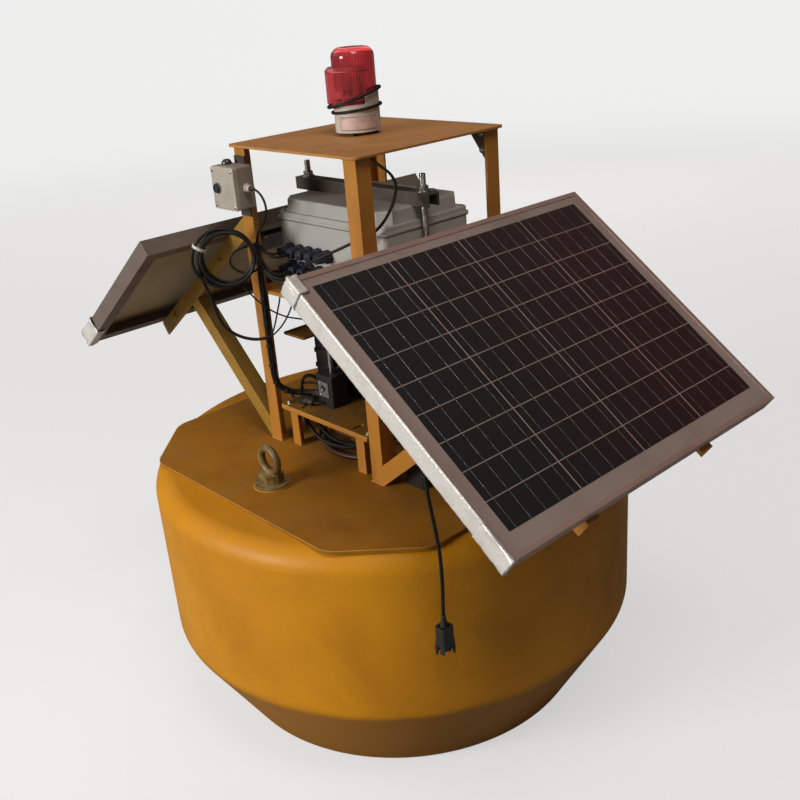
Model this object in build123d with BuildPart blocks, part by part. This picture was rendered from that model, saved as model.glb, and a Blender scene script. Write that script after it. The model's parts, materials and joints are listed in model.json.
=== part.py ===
from build123d import *
from math import cos, sin, radians, pi
import os

# A moored water quality buoy, millimetres, +Z up.
# Origin: centre of the hull's flat bottom. The tower's faces look along X and Y.
# The front panel faces -Y and the rear panel +Y. The enclosure's cables leave on the -X side.

# Hull float
hull_radius = 455.0
bottom_radius = 352.0
taper_height = 178.0
hull_top = 489.0
rim_round = 36.0
knuckle_round = 24.0
bottom_round = 14.0
well_radius = 60.0
well_wall = 5.0
well_clearance = 0.3
collar_width = 16.0
collar_thickness = 5.0

# Deck plate and its two lifting eyes
deck_half = 370.0
deck_chamfer = 120.0
deck_corner_round = 50.0
deck_thickness = 6.0
eye_distance = 284.0
eye_flange_radius = 31.0
eye_flange_thickness = 6.0
eye_collar_radius = 22.0
eye_collar_height = 18.0
eye_ring_radius = 23.0
eye_bar_radius = 7.0

# Tower of angle iron
tower_half = 162.5
angle_side = 30.0
angle_wall = 3.0
tower_height = 561.0
top_thickness = 4.0
top_overhang = 9.5
top_corner_round = 14.0
lead_hole_radius = 7.0
gusset_width = 42.0
gusset_height = 55.0
gusset_thickness = 3.0

# Shelves inside the tower
mid_shelf_rise = 305.0
shelf_thickness = 3.0
seat_gap = 0.2
bearer_side = 20.0
low_shelf_rise = 80.0
low_shelf_half_x = 158.0
low_shelf_half_y = 124.0
low_leg_side = 22.0
low_leg_inset_x = 5.0
low_leg_inset_y = 18.0
slot_length = 22.0
slot_width = 9.0
slot_x = 138.0
slot_y = 76.0

# Enclosure, its clamp and its cable glands
box_x = 200.0
box_rod_gap = 2.5
box_base_height = 118.0
box_lid_height = 38.0
box_round = 12.0
lid_inset = 6.0
lid_corner_cut = 20.0
lid_step = 14.0
lid_draft = 3.0
lid_edge_round = 3.0
clamp_width = 26.0
clamp_height = 22.0
clamp_wall = 3.5
clamp_x = -14.0
clamp_past_rod = 23.5
rod_inset = 10.0
rod_radius = 5.0
rod_clearance = 0.6
rod_proud = 30.0
rod_tail = 14.0
nut_radius = 9.5
nut_height = 8.0
washer_radius = 12.0
washer_height = 2.0
vent_radius = 9.0
vent_height = 15.0
vent_round = 4.0
vent_x = 34.0
vent_y = -122.0
gland_radius = 8.5
gland_nut_radius = 11.5
gland_length = 30.0
gland_nut_length = 9.0
gland_rows = (34.0, 66.0)
gland_columns = (110.0, 84.0, 58.0, 32.0, 6.0)

# Switch box on the left leg
switch_x = 40.0
switch_y = 68.0
switch_z = 74.0
switch_lid = 9.0
switch_drop = 102.0
switch_round = 4.0
switch_bracket_wall = 2.5
switch_cover_round = 2.0
switch_gland_radius = 5.5
switch_gland_nut = 8.0
switch_gland_length = 13.0
knob_radius = 7.5
knob_length = 6.0
knob_y = 16.0
cell_radius = 9.0
cell_round = 7.0

# Beacon
beacon_x = 5.0
beacon_y = 20.0
beacon_foot = 5.0
beacon_base_radius = 39.5
beacon_base_height = 47.0
beacon_base_round = 4.0
base_crescent = 18.0
foot_radius = 6.0
foot_inset = 11.0
dome_radius = 42.5
dome_skirt_height = 56.0
dome_upper_radius = 37.0
dome_height = 92.0
dome_crown_round = 16.0
dome_shoulder_rise = 5.0
dome_wall = 2.0
dome_floor_hole = 34.0
skirt_shift = 7.0
skirt_bottom_bevel = 3.0
pedestal_radius = 24.0
pedestal_height = 10.0
holder_radius = 8.0
lamp_radius = 7.0
lamp_height = 36.0
lamp_round = 6.3
reflector_radius = 27.0
reflector_height = 48.0
reflector_wall = 1.6
spin_gap = 0.5

# Solar panels, all the same size
panel_width = 670.0
front_length = 520.0
rear_length = 381.0
panel_depth = 30.0
frame_wall = 2.0
lip_width = 9.0
lip_thickness = 1.5
flange_width = 24.0
glass_thickness = 4.5
junction_width = 100.0
junction_length = 80.0
junction_depth = 20.0
junction_round = 6.0
junction_seat = 100.0
junction_gland_radius = 6.5
junction_gland_length = 14.0
rail_side = 30.0
rail_wall = 3.0
rail_past_panel = 7.5
rail_top_reach = 95.0
front_strut_seat = 300.0
rear_strut_seat = 240.0
strut_side = 30.0
front_reach = 193.0
rear_reach = 233.5
panel_rise = 421.0
front_tilt = 36.5
rear_tilt = 36.5

# Equipment on the lower shelf and the deck
logger_x = 42.0
logger_y = 46.0
logger_z = 62.0
logger_centre_x = -94.0
logger_centre_y = 43.0
logger_round = 4.0
face_margin_y = 9.0
face_margin_z = 16.0
face_raise = 4.0
face_round = 3.0
face_thickness = 2.0
probe_radius = 4.0
probe_length = 60.0
case_x = 54.0
case_y = 52.0
case_z = 131.0
case_round = 4.0
case_centre_x = -38.0
case_centre_y = 100.0
case_plate_x = 118.0
case_plate_y = 62.0
case_plate_thickness = 4.0
case_plate_centre_x = -71.0
pump_radius = 29.0
pump_length = 96.0
pump_centre_x = -36.0
pump_centre_y = 20.0
pump_head_radius = 34.0
pump_head_length = 30.0
saddle_height = 8.0
saddle_overlap = 4.0
filter_radius = 25.0
filter_height = 92.0
filter_round = 6.0
filter_x = 38.0
filter_y = -62.0
deck_box_x = 96.0
deck_box_y = 42.0
deck_box_z = 56.0
deck_box_round = 5.0
deck_box_edge_round = 3.0
deck_box_centre_x = -83.0
deck_box_centre_y = -208.0

# Cords
panel_lead_diameter = 6.0
sensor_cable_diameter = 6.0
thin_lead_diameter = 4.0
beacon_lead_diameter = 5.0
bundle_diameter = 12.0
hose_diameter = 10.0
fitting_length = 18.0
fitting_width = 16.0
fitting_height = 12.0
coil_radius = 54.0
coil_bundle_radius = 9.0
coil_x = -220.9
coil_y = 145.9
coil_z = 870.6
connector_length = 44.0
connector_width = 15.0
connector_depth = 17.0
connector_round = 2.0
connector_neck_radius = 6.5
connector_neck_length = 11.0
latch_length = 8.0
latch_thickness = 3.0

deck_top = hull_top + deck_thickness
tower_top = deck_top + tower_height
plate_top = tower_top + top_thickness
mid_shelf_top = deck_top + mid_shelf_rise
low_shelf_top = deck_top + low_shelf_rise
box_seam = mid_shelf_top + box_base_height
box_top = box_seam + box_lid_height
inner_half = tower_half - angle_wall
rod_y = tower_half - rod_inset
box_y = 2 * (rod_y - rod_radius - box_rod_gap)
clamp_half_length = rod_y + clamp_past_rod

# one row a panel: name, facing X, facing Y, distance from the centre, height of its top edge, tilt,
# length, where its struts meet its rails
panels = (
    ("front", 0, -1, front_reach, deck_top + panel_rise, front_tilt, front_length, front_strut_seat),
    ("rear", 0, 1, rear_reach, deck_top + panel_rise, rear_tilt, rear_length, rear_strut_seat),
)

os.makedirs("parts", exist_ok=True)


def save(builder, label):
    """Labels a finished piece and writes its file."""
    builder.part.label = label
    export_step(builder.part, f"parts/{label}.step")


def angle_outline(x, y, into_x, into_y, side, wall):
    """The closed L of an angle bar whose outer corner is at x, y."""
    return (
        (x, y),
        (x + into_x * side, y),
        (x + into_x * side, y + into_y * wall),
        (x + into_x * wall, y + into_y * wall),
        (x + into_x * wall, y + into_y * side),
        (x, y + into_y * side),
    )


# The foam float is one turned section with a rounded rim and a tapered underside
with BuildPart() as hull_float:
    with BuildSketch(Plane.XZ) as hull_section:
        with BuildLine():
            Polyline(
                (well_radius, 0),
                (bottom_radius, 0),
                (hull_radius, taper_height),
                (hull_radius, hull_top),
                (well_radius, hull_top),
                close=True,
            )
        make_face()
        for corner_x, corner_z, corner_round in (
            (bottom_radius, 0, bottom_round),
            (hull_radius, taper_height, knuckle_round),
            (hull_radius, hull_top, rim_round),
        ):
            corner = hull_section.vertices().sort_by_distance((corner_x, corner_z, 0))[0]
            fillet(corner, corner_round)
    revolve(axis=Axis.Z)
save(hull_float, "hull_float")

# The instrument well is a tube right through the float, with a collar on the deck plate
with BuildPart() as well_tube:
    with BuildSketch():
        Circle(well_radius - well_clearance)
    extrude(amount=deck_top + collar_thickness)
    with BuildSketch(Plane.XY.offset(deck_top)):
        Circle(well_radius + collar_width)
    extrude(amount=collar_thickness)
    with BuildSketch():
        Circle(well_radius - well_clearance - well_wall)
    extrude(amount=deck_top + collar_thickness, mode=Mode.SUBTRACT)
save(well_tube, "well_tube")

with BuildPart() as deck_plate:
    with BuildSketch(Plane.XY.offset(hull_top)) as deck_outline:
        Rectangle(2 * deck_half, 2 * deck_half)
        chamfer(deck_outline.vertices(), deck_chamfer)
        fillet(deck_outline.vertices(), deck_corner_round)
        Circle(well_radius, mode=Mode.SUBTRACT)
    extrude(amount=deck_thickness)
save(deck_plate, "deck_plate")

eye_ring_rise = eye_flange_thickness + eye_collar_height + eye_ring_radius


def eye_bolt(label, side):
    """A lifting eye: round flange, hexagon, and a ring whose hole looks along X."""
    centre = Vector(side * eye_distance, 0, deck_top)
    ring_centre = centre + Vector(0, 0, eye_ring_rise)
    with BuildPart() as eye:
        with BuildSketch(Plane(centre)):
            Circle(eye_flange_radius)
        extrude(amount=eye_flange_thickness)
        with BuildSketch(Plane(centre + Vector(0, 0, eye_flange_thickness))):
            RegularPolygon(eye_collar_radius, 6, rotation=30)
        extrude(amount=eye_collar_height)
        with BuildSketch(Plane(ring_centre, x_dir=(1, 0, 0), z_dir=(0, -1, 0))):
            with Locations((0, eye_ring_radius)):
                Circle(eye_bar_radius)
        revolve(axis=Axis(ring_centre, (1, 0, 0)))
    save(eye, label)


eye_bolt("eye_bolt_left", -1)
eye_bolt("eye_bolt_right", 1)


def tower_leg(label, side_x, side_y):
    """One leg: an angle whose outer corner is the tower's corner."""
    with BuildPart() as leg:
        with BuildSketch(Plane.XY.offset(deck_top)):
            with BuildLine():
                Polyline(
                    *angle_outline(side_x * tower_half, side_y * tower_half, -side_x, -side_y,
                                   angle_side, angle_wall),
                    close=True,
                )
            make_face()
        extrude(amount=tower_height)
    save(leg, label)


for leg_name, leg_x, leg_y in (("front", -1, -1), ("left", -1, 1), ("right", 1, -1), ("back", 1, 1)):
    tower_leg(f"tower_leg_{leg_name}", leg_x, leg_y)

top_half = tower_half + top_overhang
with BuildPart() as top_plate:
    with BuildSketch(Plane.XY.offset(tower_top)):
        RectangleRounded(2 * top_half, 2 * top_half, top_corner_round)
        with Locations((beacon_x, beacon_y)):
            Circle(lead_hole_radius, mode=Mode.SUBTRACT)
    extrude(amount=top_thickness)
save(top_plate, "top_plate")

# Two gussets brace the top on the side away from the open face
with BuildPart() as corner_gussets:
    with BuildSketch(Plane((tower_half, 0, tower_top), x_dir=(0, 1, 0), z_dir=(1, 0, 0))):
        for side in (-1, 1):
            edge = side * (tower_half - angle_side)
            with BuildLine():
                Polyline((edge, 0), (edge - side * gusset_width, 0), (edge, -gusset_height), close=True)
            make_face()
    extrude(amount=-gusset_thickness)
save(corner_gussets, "corner_gussets")

with BuildPart() as mid_shelf:
    with BuildSketch(Plane.XY.offset(mid_shelf_top - shelf_thickness)):
        Rectangle(2 * (inner_half - seat_gap), 2 * (inner_half - seat_gap))
        with Locations((clamp_x, rod_y), (clamp_x, -rod_y)):
            Circle(rod_radius + rod_clearance, mode=Mode.SUBTRACT)
    extrude(amount=shelf_thickness)
save(mid_shelf, "mid_shelf")

# Two flat bars join the legs under the middle shelf
with BuildPart() as shelf_bearers:
    with BuildSketch(Plane((0, 0, mid_shelf_top - shelf_thickness))):
        with Locations((bearer_side / 2 - inner_half, 0), (inner_half - bearer_side / 2, 0)):
            Rectangle(bearer_side, 2 * inner_half)
    extrude(amount=-angle_wall)
save(shelf_bearers, "shelf_bearers")

with BuildPart() as instrument_shelf:
    with BuildSketch(Plane.XY.offset(low_shelf_top - shelf_thickness)):
        Rectangle(2 * low_shelf_half_x, 2 * low_shelf_half_y)
        with Locations((-slot_x, slot_y), (-slot_x, -slot_y), (slot_x, slot_y), (slot_x, -slot_y)):
            SlotOverall(slot_length, slot_width, mode=Mode.SUBTRACT)
    extrude(amount=shelf_thickness)
save(instrument_shelf, "instrument_shelf")

with BuildPart() as instrument_shelf_legs:
    with BuildSketch(Plane.XY.offset(deck_top)):
        for side_x in (-1, 1):
            for side_y in (-1, 1):
                with BuildLine():
                    Polyline(
                        *angle_outline(side_x * (low_shelf_half_x - low_leg_inset_x),
                                       side_y * (low_shelf_half_y - low_leg_inset_y),
                                       -side_x, -side_y, low_leg_side, angle_wall),
                        close=True,
                    )
                make_face()
    extrude(amount=low_shelf_rise - shelf_thickness)
save(instrument_shelf_legs, "instrument_shelf_legs")

# The enclosure: a plain base and a raised lid whose corners are cut for its screws
with BuildPart() as enclosure_base:
    with BuildSketch(Plane.XY.offset(mid_shelf_top)):
        RectangleRounded(box_x, box_y, box_round)
    extrude(amount=box_base_height)
save(enclosure_base, "enclosure_base")

with BuildPart() as enclosure_lid:
    with BuildSketch(Plane.XY.offset(box_seam)):
        RectangleRounded(box_x, box_y, box_round)
    extrude(amount=lid_step)
    with BuildSketch(Plane.XY.offset(box_seam + lid_step)) as lid_outline:
        Rectangle(box_x - 2 * lid_inset, box_y - 2 * lid_inset)
        chamfer(lid_outline.vertices(), lid_corner_cut)
    extrude(amount=box_lid_height - lid_step, taper=lid_draft)
    fillet(enclosure_lid.faces().sort_by(Axis.Z)[-1].edges(), lid_edge_round)
save(enclosure_lid, "enclosure_lid")

# A channel clamps the lid down between two threaded rods
clamp_top = box_top + clamp_height
with BuildPart() as clamp_bar:
    with BuildSketch(Plane((clamp_x, clamp_half_length, box_top), x_dir=(1, 0, 0), z_dir=(0, -1, 0))):
        with Locations((0, clamp_height / 2)):
            Rectangle(clamp_width, clamp_height)
        with Locations((0, (clamp_height - clamp_wall) / 2)):
            Rectangle(clamp_width - 2 * clamp_wall, clamp_height - clamp_wall, mode=Mode.SUBTRACT)
    extrude(amount=2 * clamp_half_length)
    with BuildSketch(Plane.XY.offset(clamp_top)):
        with Locations((clamp_x, rod_y), (clamp_x, -rod_y)):
            Circle(rod_radius + rod_clearance)
    extrude(amount=-2 * clamp_wall, mode=Mode.SUBTRACT)
save(clamp_bar, "clamp_bar")

rod_bottom = mid_shelf_top - shelf_thickness - rod_tail
with BuildPart() as clamp_rods:
    with BuildSketch(Plane.XY.offset(rod_bottom)):
        with Locations((clamp_x, rod_y), (clamp_x, -rod_y)):
            Circle(rod_radius)
    extrude(amount=clamp_top + rod_proud - rod_bottom)
    for seat in (clamp_top, mid_shelf_top - shelf_thickness - washer_height):
        with BuildSketch(Plane.XY.offset(seat)):
            with Locations((clamp_x, rod_y), (clamp_x, -rod_y)):
                Circle(washer_radius)
        extrude(amount=washer_height)
    for seat in (clamp_top + washer_height, mid_shelf_top - shelf_thickness - washer_height - nut_height):
        with BuildSketch(Plane.XY.offset(seat)):
            with Locations((clamp_x, rod_y), (clamp_x, -rod_y)):
                RegularPolygon(nut_radius, 6)
        extrude(amount=nut_height)
save(clamp_rods, "clamp_rods")

with BuildPart() as vent_cap:
    with BuildSketch(Plane((vent_x, vent_y, box_top))):
        Circle(vent_radius)
    extrude(amount=vent_height)
    fillet(vent_cap.faces().sort_by(Axis.Z)[-1].edges(), vent_round)
save(vent_cap, "vent_cap")

# Cable glands in two rows on the enclosure's open side
with BuildPart() as cable_glands:
    gland_plane = Plane((-box_x / 2, 0, mid_shelf_top), x_dir=(0, -1, 0), z_dir=(-1, 0, 0))
    gland_spots = [(-column, row) for row in gland_rows for column in gland_columns]
    with BuildSketch(gland_plane):
        with Locations(*gland_spots):
            RegularPolygon(gland_nut_radius, 6)
    extrude(amount=gland_nut_length)
    with BuildSketch(gland_plane):
        with Locations(*gland_spots):
            Circle(gland_radius)
    extrude(amount=gland_length)
save(cable_glands, "cable_glands")

# The switch box hangs on a flat bracket on the left leg's outer face
switch_back = -tower_half - switch_bracket_wall
switch_centre_y = tower_half - angle_side / 2
switch_bottom = tower_top - switch_drop
with BuildPart() as switch_bracket_plate:
    with BuildSketch(Plane((-tower_half, switch_centre_y, switch_bottom), x_dir=(0, -1, 0),
                           z_dir=(-1, 0, 0))):
        with Locations((0, switch_z / 2 - angle_wall)):
            Rectangle(angle_side, switch_z + 2 * knob_y)
    extrude(amount=switch_bracket_wall)
save(switch_bracket_plate, "switch_bracket")

switch_plane = Plane((switch_back, switch_centre_y, switch_bottom + switch_z / 2), x_dir=(0, -1, 0),
                     z_dir=(-1, 0, 0))
with BuildPart() as switch_body:
    with BuildSketch(switch_plane):
        RectangleRounded(switch_y, switch_z, switch_round)
    extrude(amount=switch_x - switch_lid)
save(switch_body, "switch_box_body")

with BuildPart() as switch_cover:
    with BuildSketch(switch_plane.offset(switch_x - switch_lid)):
        RectangleRounded(switch_y, switch_z, switch_round)
    extrude(amount=switch_lid)
    fillet(switch_cover.faces().sort_by(Axis.X)[0].edges(), switch_cover_round)
save(switch_cover, "switch_box_cover")

with BuildPart() as switch_knob:
    with BuildSketch(switch_plane.offset(switch_x)):
        with Locations((-knob_y, 0)):
            Circle(knob_radius)
    extrude(amount=knob_length)
save(switch_knob, "switch_knob")

switch_gland_x = switch_back - (switch_x - switch_lid) / 2
switch_gland_y = switch_centre_y - switch_y / 2
switch_gland_z = switch_bottom + switch_z / 2
with BuildPart() as switch_gland:
    with BuildSketch(Plane((switch_gland_x, switch_gland_y, switch_gland_z), z_dir=(0, -1, 0))):
        RegularPolygon(switch_gland_nut, 6)
    extrude(amount=switch_gland_length / 2)
    with BuildSketch(Plane((switch_gland_x, switch_gland_y, switch_gland_z), z_dir=(0, -1, 0))):
        Circle(switch_gland_radius)
    extrude(amount=switch_gland_length)
save(switch_gland, "switch_gland")

# A light cell looks up from the top of the switch box
with BuildPart() as light_cell:
    with BuildSketch(Plane((switch_gland_x, switch_centre_y + knob_y, switch_bottom + switch_z))):
        Circle(cell_radius)
    extrude(amount=cell_radius)
    fillet(light_cell.faces().sort_by(Axis.Z)[-1].edges(), cell_round)
save(light_cell, "light_cell")

# Beacon base: a drum with a seat for the dome and the pedestal of the lamp
base_bottom = plate_top + beacon_foot
base_top = base_bottom + beacon_base_height
beacon_plane = Plane((beacon_x, beacon_y, base_bottom))
# the dome's skirt leans out to the left of the front, where the cord's low side hooks under it
beacon_left = Vector(-0.75, 0.66, 0).normalized()
skirt_place = (skirt_shift * beacon_left.X, skirt_shift * beacon_left.Y)
with BuildPart() as beacon_base:
    with BuildSketch(beacon_plane):
        Circle(beacon_base_radius)
    extrude(amount=beacon_base_height)
    fillet(beacon_base.faces().sort_by(Axis.Z)[0].edges(), beacon_base_round)
    with BuildSketch(beacon_plane.offset(beacon_base_height)):
        Circle(beacon_base_radius)
        Circle(dome_upper_radius + seat_gap, mode=Mode.SUBTRACT)
        with Locations(skirt_place):
            Circle(dome_radius + seat_gap, mode=Mode.SUBTRACT)
    extrude(amount=base_crescent)
    with BuildSketch(beacon_plane.offset(beacon_base_height)):
        Circle(pedestal_radius)
    extrude(amount=pedestal_height)
    with BuildSketch(beacon_plane.offset(beacon_base_height + pedestal_height)):
        Circle(holder_radius)
    extrude(amount=4 * spin_gap + 2 * reflector_wall)
save(beacon_base, "beacon_base")

with BuildPart() as beacon_feet:
    with BuildSketch(Plane((beacon_x, beacon_y, plate_top))):
        with PolarLocations(beacon_base_radius - foot_inset, 3, start_angle=90):
            Circle(foot_radius)
    extrude(amount=beacon_foot)
save(beacon_feet, "beacon_feet")

# Beacon dome: a cup with a rounded crown over a wider skirt that sits off centre
dome_plane = Plane((beacon_x, beacon_y, base_top))
with BuildPart() as beacon_dome:
    for inset, floor, side_mode in ((0, 0, Mode.ADD), (dome_wall, dome_wall, Mode.SUBTRACT)):
        with BuildPart(mode=Mode.PRIVATE) as skirt:
            with BuildSketch(dome_plane.offset(floor)):
                with Locations(skirt_place):
                    Circle(dome_radius - inset)
            extrude(amount=dome_skirt_height + dome_shoulder_rise - inset - floor)
            chamfer(skirt.faces().sort_by(Axis.Z)[-1].edges(), dome_shoulder_rise)
            chamfer(skirt.faces().sort_by(Axis.Z)[0].edges(), skirt_bottom_bevel)
        with BuildPart(mode=Mode.PRIVATE) as cup:
            with BuildSketch(dome_plane.offset(floor)):
                Circle(dome_upper_radius - inset)
            extrude(amount=dome_height - inset - floor)
            fillet(cup.faces().sort_by(Axis.Z)[-1].edges(), dome_crown_round - inset)
        add(skirt.part, mode=side_mode)
        add(cup.part, mode=side_mode)
    with BuildSketch(dome_plane):
        Circle(dome_floor_hole)
    extrude(amount=dome_wall, mode=Mode.SUBTRACT)
save(beacon_dome, "beacon_dome")

# The mirror: a half cylinder on a disc that turns round the lamp holder
disc_bottom = pedestal_height + spin_gap
with BuildPart() as beacon_reflector:
    with BuildSketch(beacon_plane.offset(beacon_base_height + disc_bottom)):
        Circle(reflector_radius)
        Circle(holder_radius + spin_gap, mode=Mode.SUBTRACT)
    extrude(amount=reflector_wall)
    with BuildSketch(beacon_plane.offset(beacon_base_height + disc_bottom + reflector_wall)):
        Circle(reflector_radius)
        Circle(reflector_radius - reflector_wall, mode=Mode.SUBTRACT)
        with Locations((0, -reflector_radius)):
            Rectangle(2 * reflector_radius, 2 * reflector_radius, mode=Mode.SUBTRACT)
    extrude(amount=reflector_height)
save(beacon_reflector, "beacon_reflector")

lamp_bottom = pedestal_height + 4 * spin_gap + 2 * reflector_wall
with BuildPart() as beacon_lamp:
    with BuildSketch(beacon_plane.offset(beacon_base_height + lamp_bottom)):
        Circle(lamp_radius)
    extrude(amount=lamp_height)
    fillet(beacon_lamp.faces().sort_by(Axis.Z)[-1].edges(), lamp_round)
save(beacon_lamp, "beacon_lamp")


def panel_plane(facing_x, facing_y, distance, height, tilt):
    """The panel's front face: origin mid top edge, local Y down the slope, Z out of the glass."""
    lean = radians(tilt)
    return Plane(
        (facing_x * distance, facing_y * distance, height),
        x_dir=(facing_y, -facing_x, 0),
        z_dir=(facing_x * sin(lean), facing_y * sin(lean), cos(lean)),
    )


glass_back = lip_thickness + glass_thickness
for panel_name, facing_x, facing_y, distance, height, tilt, panel_length, strut_seat in panels:
    face = panel_plane(facing_x, facing_y, distance, height, tilt)
    middle = (0, panel_length / 2)
    inside_width = panel_width - 2 * frame_wall
    inside_length = panel_length - 2 * frame_wall

    # frame: a thin extrusion with a front lip and a wide back flange
    with BuildPart() as frame:
        with BuildSketch(face):
            with Locations(middle):
                Rectangle(panel_width, panel_length)
        extrude(amount=-panel_depth)
        with BuildSketch(face.offset(-lip_thickness)):
            with Locations(middle):
                Rectangle(inside_width, inside_length)
        extrude(amount=-(panel_depth - lip_thickness - frame_wall), mode=Mode.SUBTRACT)
        with BuildSketch(face):
            with Locations(middle):
                Rectangle(panel_width - 2 * lip_width, panel_length - 2 * lip_width)
        extrude(amount=-2 * lip_thickness, mode=Mode.SUBTRACT)
        with BuildSketch(face.offset(-panel_depth)):
            with Locations(middle):
                Rectangle(panel_width - 2 * flange_width, panel_length - 2 * flange_width)
        extrude(amount=2 * frame_wall, mode=Mode.SUBTRACT)
    save(frame, f"{panel_name}_panel_frame")

    with BuildPart() as laminate:
        with BuildSketch(face.offset(-lip_thickness)):
            with Locations(middle):
                Rectangle(inside_width - 2 * seat_gap, inside_length - 2 * seat_gap)
        extrude(amount=-glass_thickness)
    save(laminate, f"{panel_name}_panel_laminate")

    # junction box under the glass, with the gland of the panel's lead
    with BuildPart() as junction:
        with BuildSketch(face.offset(-glass_back)):
            with Locations((0, junction_seat)):
                RectangleRounded(junction_width, junction_length, junction_round)
        extrude(amount=-junction_depth)
        with BuildSketch(Plane(face.from_local_coords(
                Vector(junction_width / 2, junction_seat, -glass_back - junction_depth / 2)),
                z_dir=face.x_dir)):
            Circle(junction_gland_radius)
        extrude(amount=junction_gland_length)
    save(junction, f"{panel_name}_junction_box")

    # two rails carry the frame's flanges, cut upright at the tower's face
    tower_face = Plane((facing_x * tower_half, facing_y * tower_half, 0), z_dir=(facing_x, facing_y, 0))
    down_slope = face.y_dir
    rail_plane = Plane(face.from_local_coords(Vector(0, -rail_top_reach, -panel_depth)),
                       x_dir=face.x_dir, z_dir=down_slope)
    with BuildPart() as rails:
        with BuildSketch(rail_plane):
            for side in (-1, 1):
                with BuildLine():
                    Polyline(*angle_outline(side * tower_half, 0, -side, 1, rail_side, rail_wall), close=True)
                make_face()
        extrude(amount=rail_top_reach + panel_length + rail_past_panel)
        split(bisect_by=tower_face, keep=Keep.TOP)
    save(rails, f"{panel_name}_panel_rails")

    # two struts run from the legs' feet to the rails
    seat = face.from_local_coords(Vector(0, strut_seat, -panel_depth - rail_side))
    foot = Vector(facing_x * tower_half, facing_y * tower_half, deck_top)
    reach = Vector(seat.X, seat.Y, seat.Z) - foot
    strut_plane = Plane(foot, x_dir=face.x_dir, z_dir=reach)
    under_rail = Plane(seat, x_dir=face.x_dir, z_dir=face.z_dir)
    with BuildPart() as struts:
        with BuildSketch(strut_plane):
            for side in (-1, 1):
                with BuildLine():
                    Polyline(
                        *angle_outline(side * tower_half, -strut_side, -side, 1, strut_side, angle_wall),
                        close=True,
                    )
                make_face()
        extrude(amount=1.3 * reach.length, both=True)
        split(bisect_by=tower_face, keep=Keep.TOP)
        split(bisect_by=Plane.XY.offset(deck_top), keep=Keep.TOP)
        split(bisect_by=under_rail, keep=Keep.BOTTOM)
    save(struts, f"{panel_name}_panel_struts")

# Equipment on the lower shelf
with BuildPart() as logger_module:
    with BuildSketch(Plane((logger_centre_x, logger_centre_y, low_shelf_top))):
        RectangleRounded(logger_x, logger_y, logger_round)
    extrude(amount=logger_z)
save(logger_module, "logger_module")

with BuildPart() as logger_front:
    with BuildSketch(Plane((logger_centre_x - logger_x / 2, logger_centre_y, low_shelf_top + logger_z / 2 + face_raise),
                           x_dir=(0, -1, 0), z_dir=(-1, 0, 0))):
        RectangleRounded(logger_y - 2 * face_margin_y, logger_z - 2 * face_margin_z, face_round)
    extrude(amount=face_thickness)
save(logger_front, "logger_face")

with BuildPart() as probe_rod:
    with BuildSketch(Plane((logger_centre_x, logger_centre_y, low_shelf_top + logger_z))):
        Circle(probe_radius)
    extrude(amount=probe_length)
save(probe_rod, "probe_rod")

with BuildPart() as device_case:
    with BuildSketch(Plane((case_centre_x, case_centre_y, low_shelf_top))):
        RectangleRounded(case_x, case_y, case_round)
    extrude(amount=case_z)
save(device_case, "device_case")

with BuildPart() as device_plate:
    with BuildSketch(Plane((case_plate_centre_x, case_centre_y, low_shelf_top + case_z))):
        RectangleRounded(case_plate_x, case_plate_y, case_round)
    extrude(amount=case_plate_thickness)
save(device_plate, "device_plate")

pump_axis_z = low_shelf_top + saddle_height + pump_head_radius
with BuildPart() as sample_pump:
    with BuildSketch(Plane((pump_centre_x, pump_centre_y, pump_axis_z), z_dir=(0, 1, 0))):
        Circle(pump_radius)
    extrude(amount=pump_length / 2, both=True)
    with BuildSketch(Plane((pump_centre_x, pump_centre_y - pump_length / 2, pump_axis_z),
                           z_dir=(0, -1, 0))):
        Circle(pump_head_radius)
    extrude(amount=pump_head_length)
    with BuildSketch(Plane((pump_centre_x, pump_centre_y, low_shelf_top))):
        Rectangle(pump_radius, pump_length)
    extrude(amount=saddle_height + pump_head_radius - pump_radius + saddle_overlap)
save(sample_pump, "sample_pump")

with BuildPart() as filter_bowl:
    with BuildSketch(Plane((filter_x, filter_y, low_shelf_top))):
        Circle(filter_radius)
    extrude(amount=filter_height)
    fillet(filter_bowl.faces().sort_by(Axis.Z)[-1].edges(), filter_round)
save(filter_bowl, "filter_bowl")

with BuildPart() as deck_box:
    with BuildSketch(Plane((deck_box_centre_x, deck_box_centre_y, deck_top))):
        RectangleRounded(deck_box_x, deck_box_y, deck_box_round)
    extrude(amount=deck_box_z)
    fillet(deck_box.faces().sort_by(Axis.Z)[-1].edges(), deck_box_edge_round)
save(deck_box, "deck_box")


def cord_radii(route):
    """One radius a corner: 0.45 of the shorter run over the tangent of half the turn."""
    points = [Vector(*point) for point in route]
    radii = []
    for before, corner, after in zip(points, points[1:], points[2:]):
        first = corner - before
        second = after - corner
        half_turn = radians(first.get_angle(second)) / 2
        radii.append(0.45 * min(first.length, second.length) / (sin(half_turn) / cos(half_turn)))
    return radii


def cord(label, route, diameter):
    """A plain tube of straight runs joined by tangent arcs."""
    radii = cord_radii(route)
    with BuildPart() as tube:
        with BuildLine():
            path = FilletPolyline(*route, radius=radii)
        with BuildSketch(Plane(path @ 0, z_dir=path % 0)):
            Circle(diameter / 2)
        sweep()
    length = path.length
    share = tube.part.volume / (pi * diameter ** 2 / 4 * length)
    print(f"{label}: length {length:.1f}, tightest {min(radii):.1f}, volume share {share:.3f}")
    save(tube, label)


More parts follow.
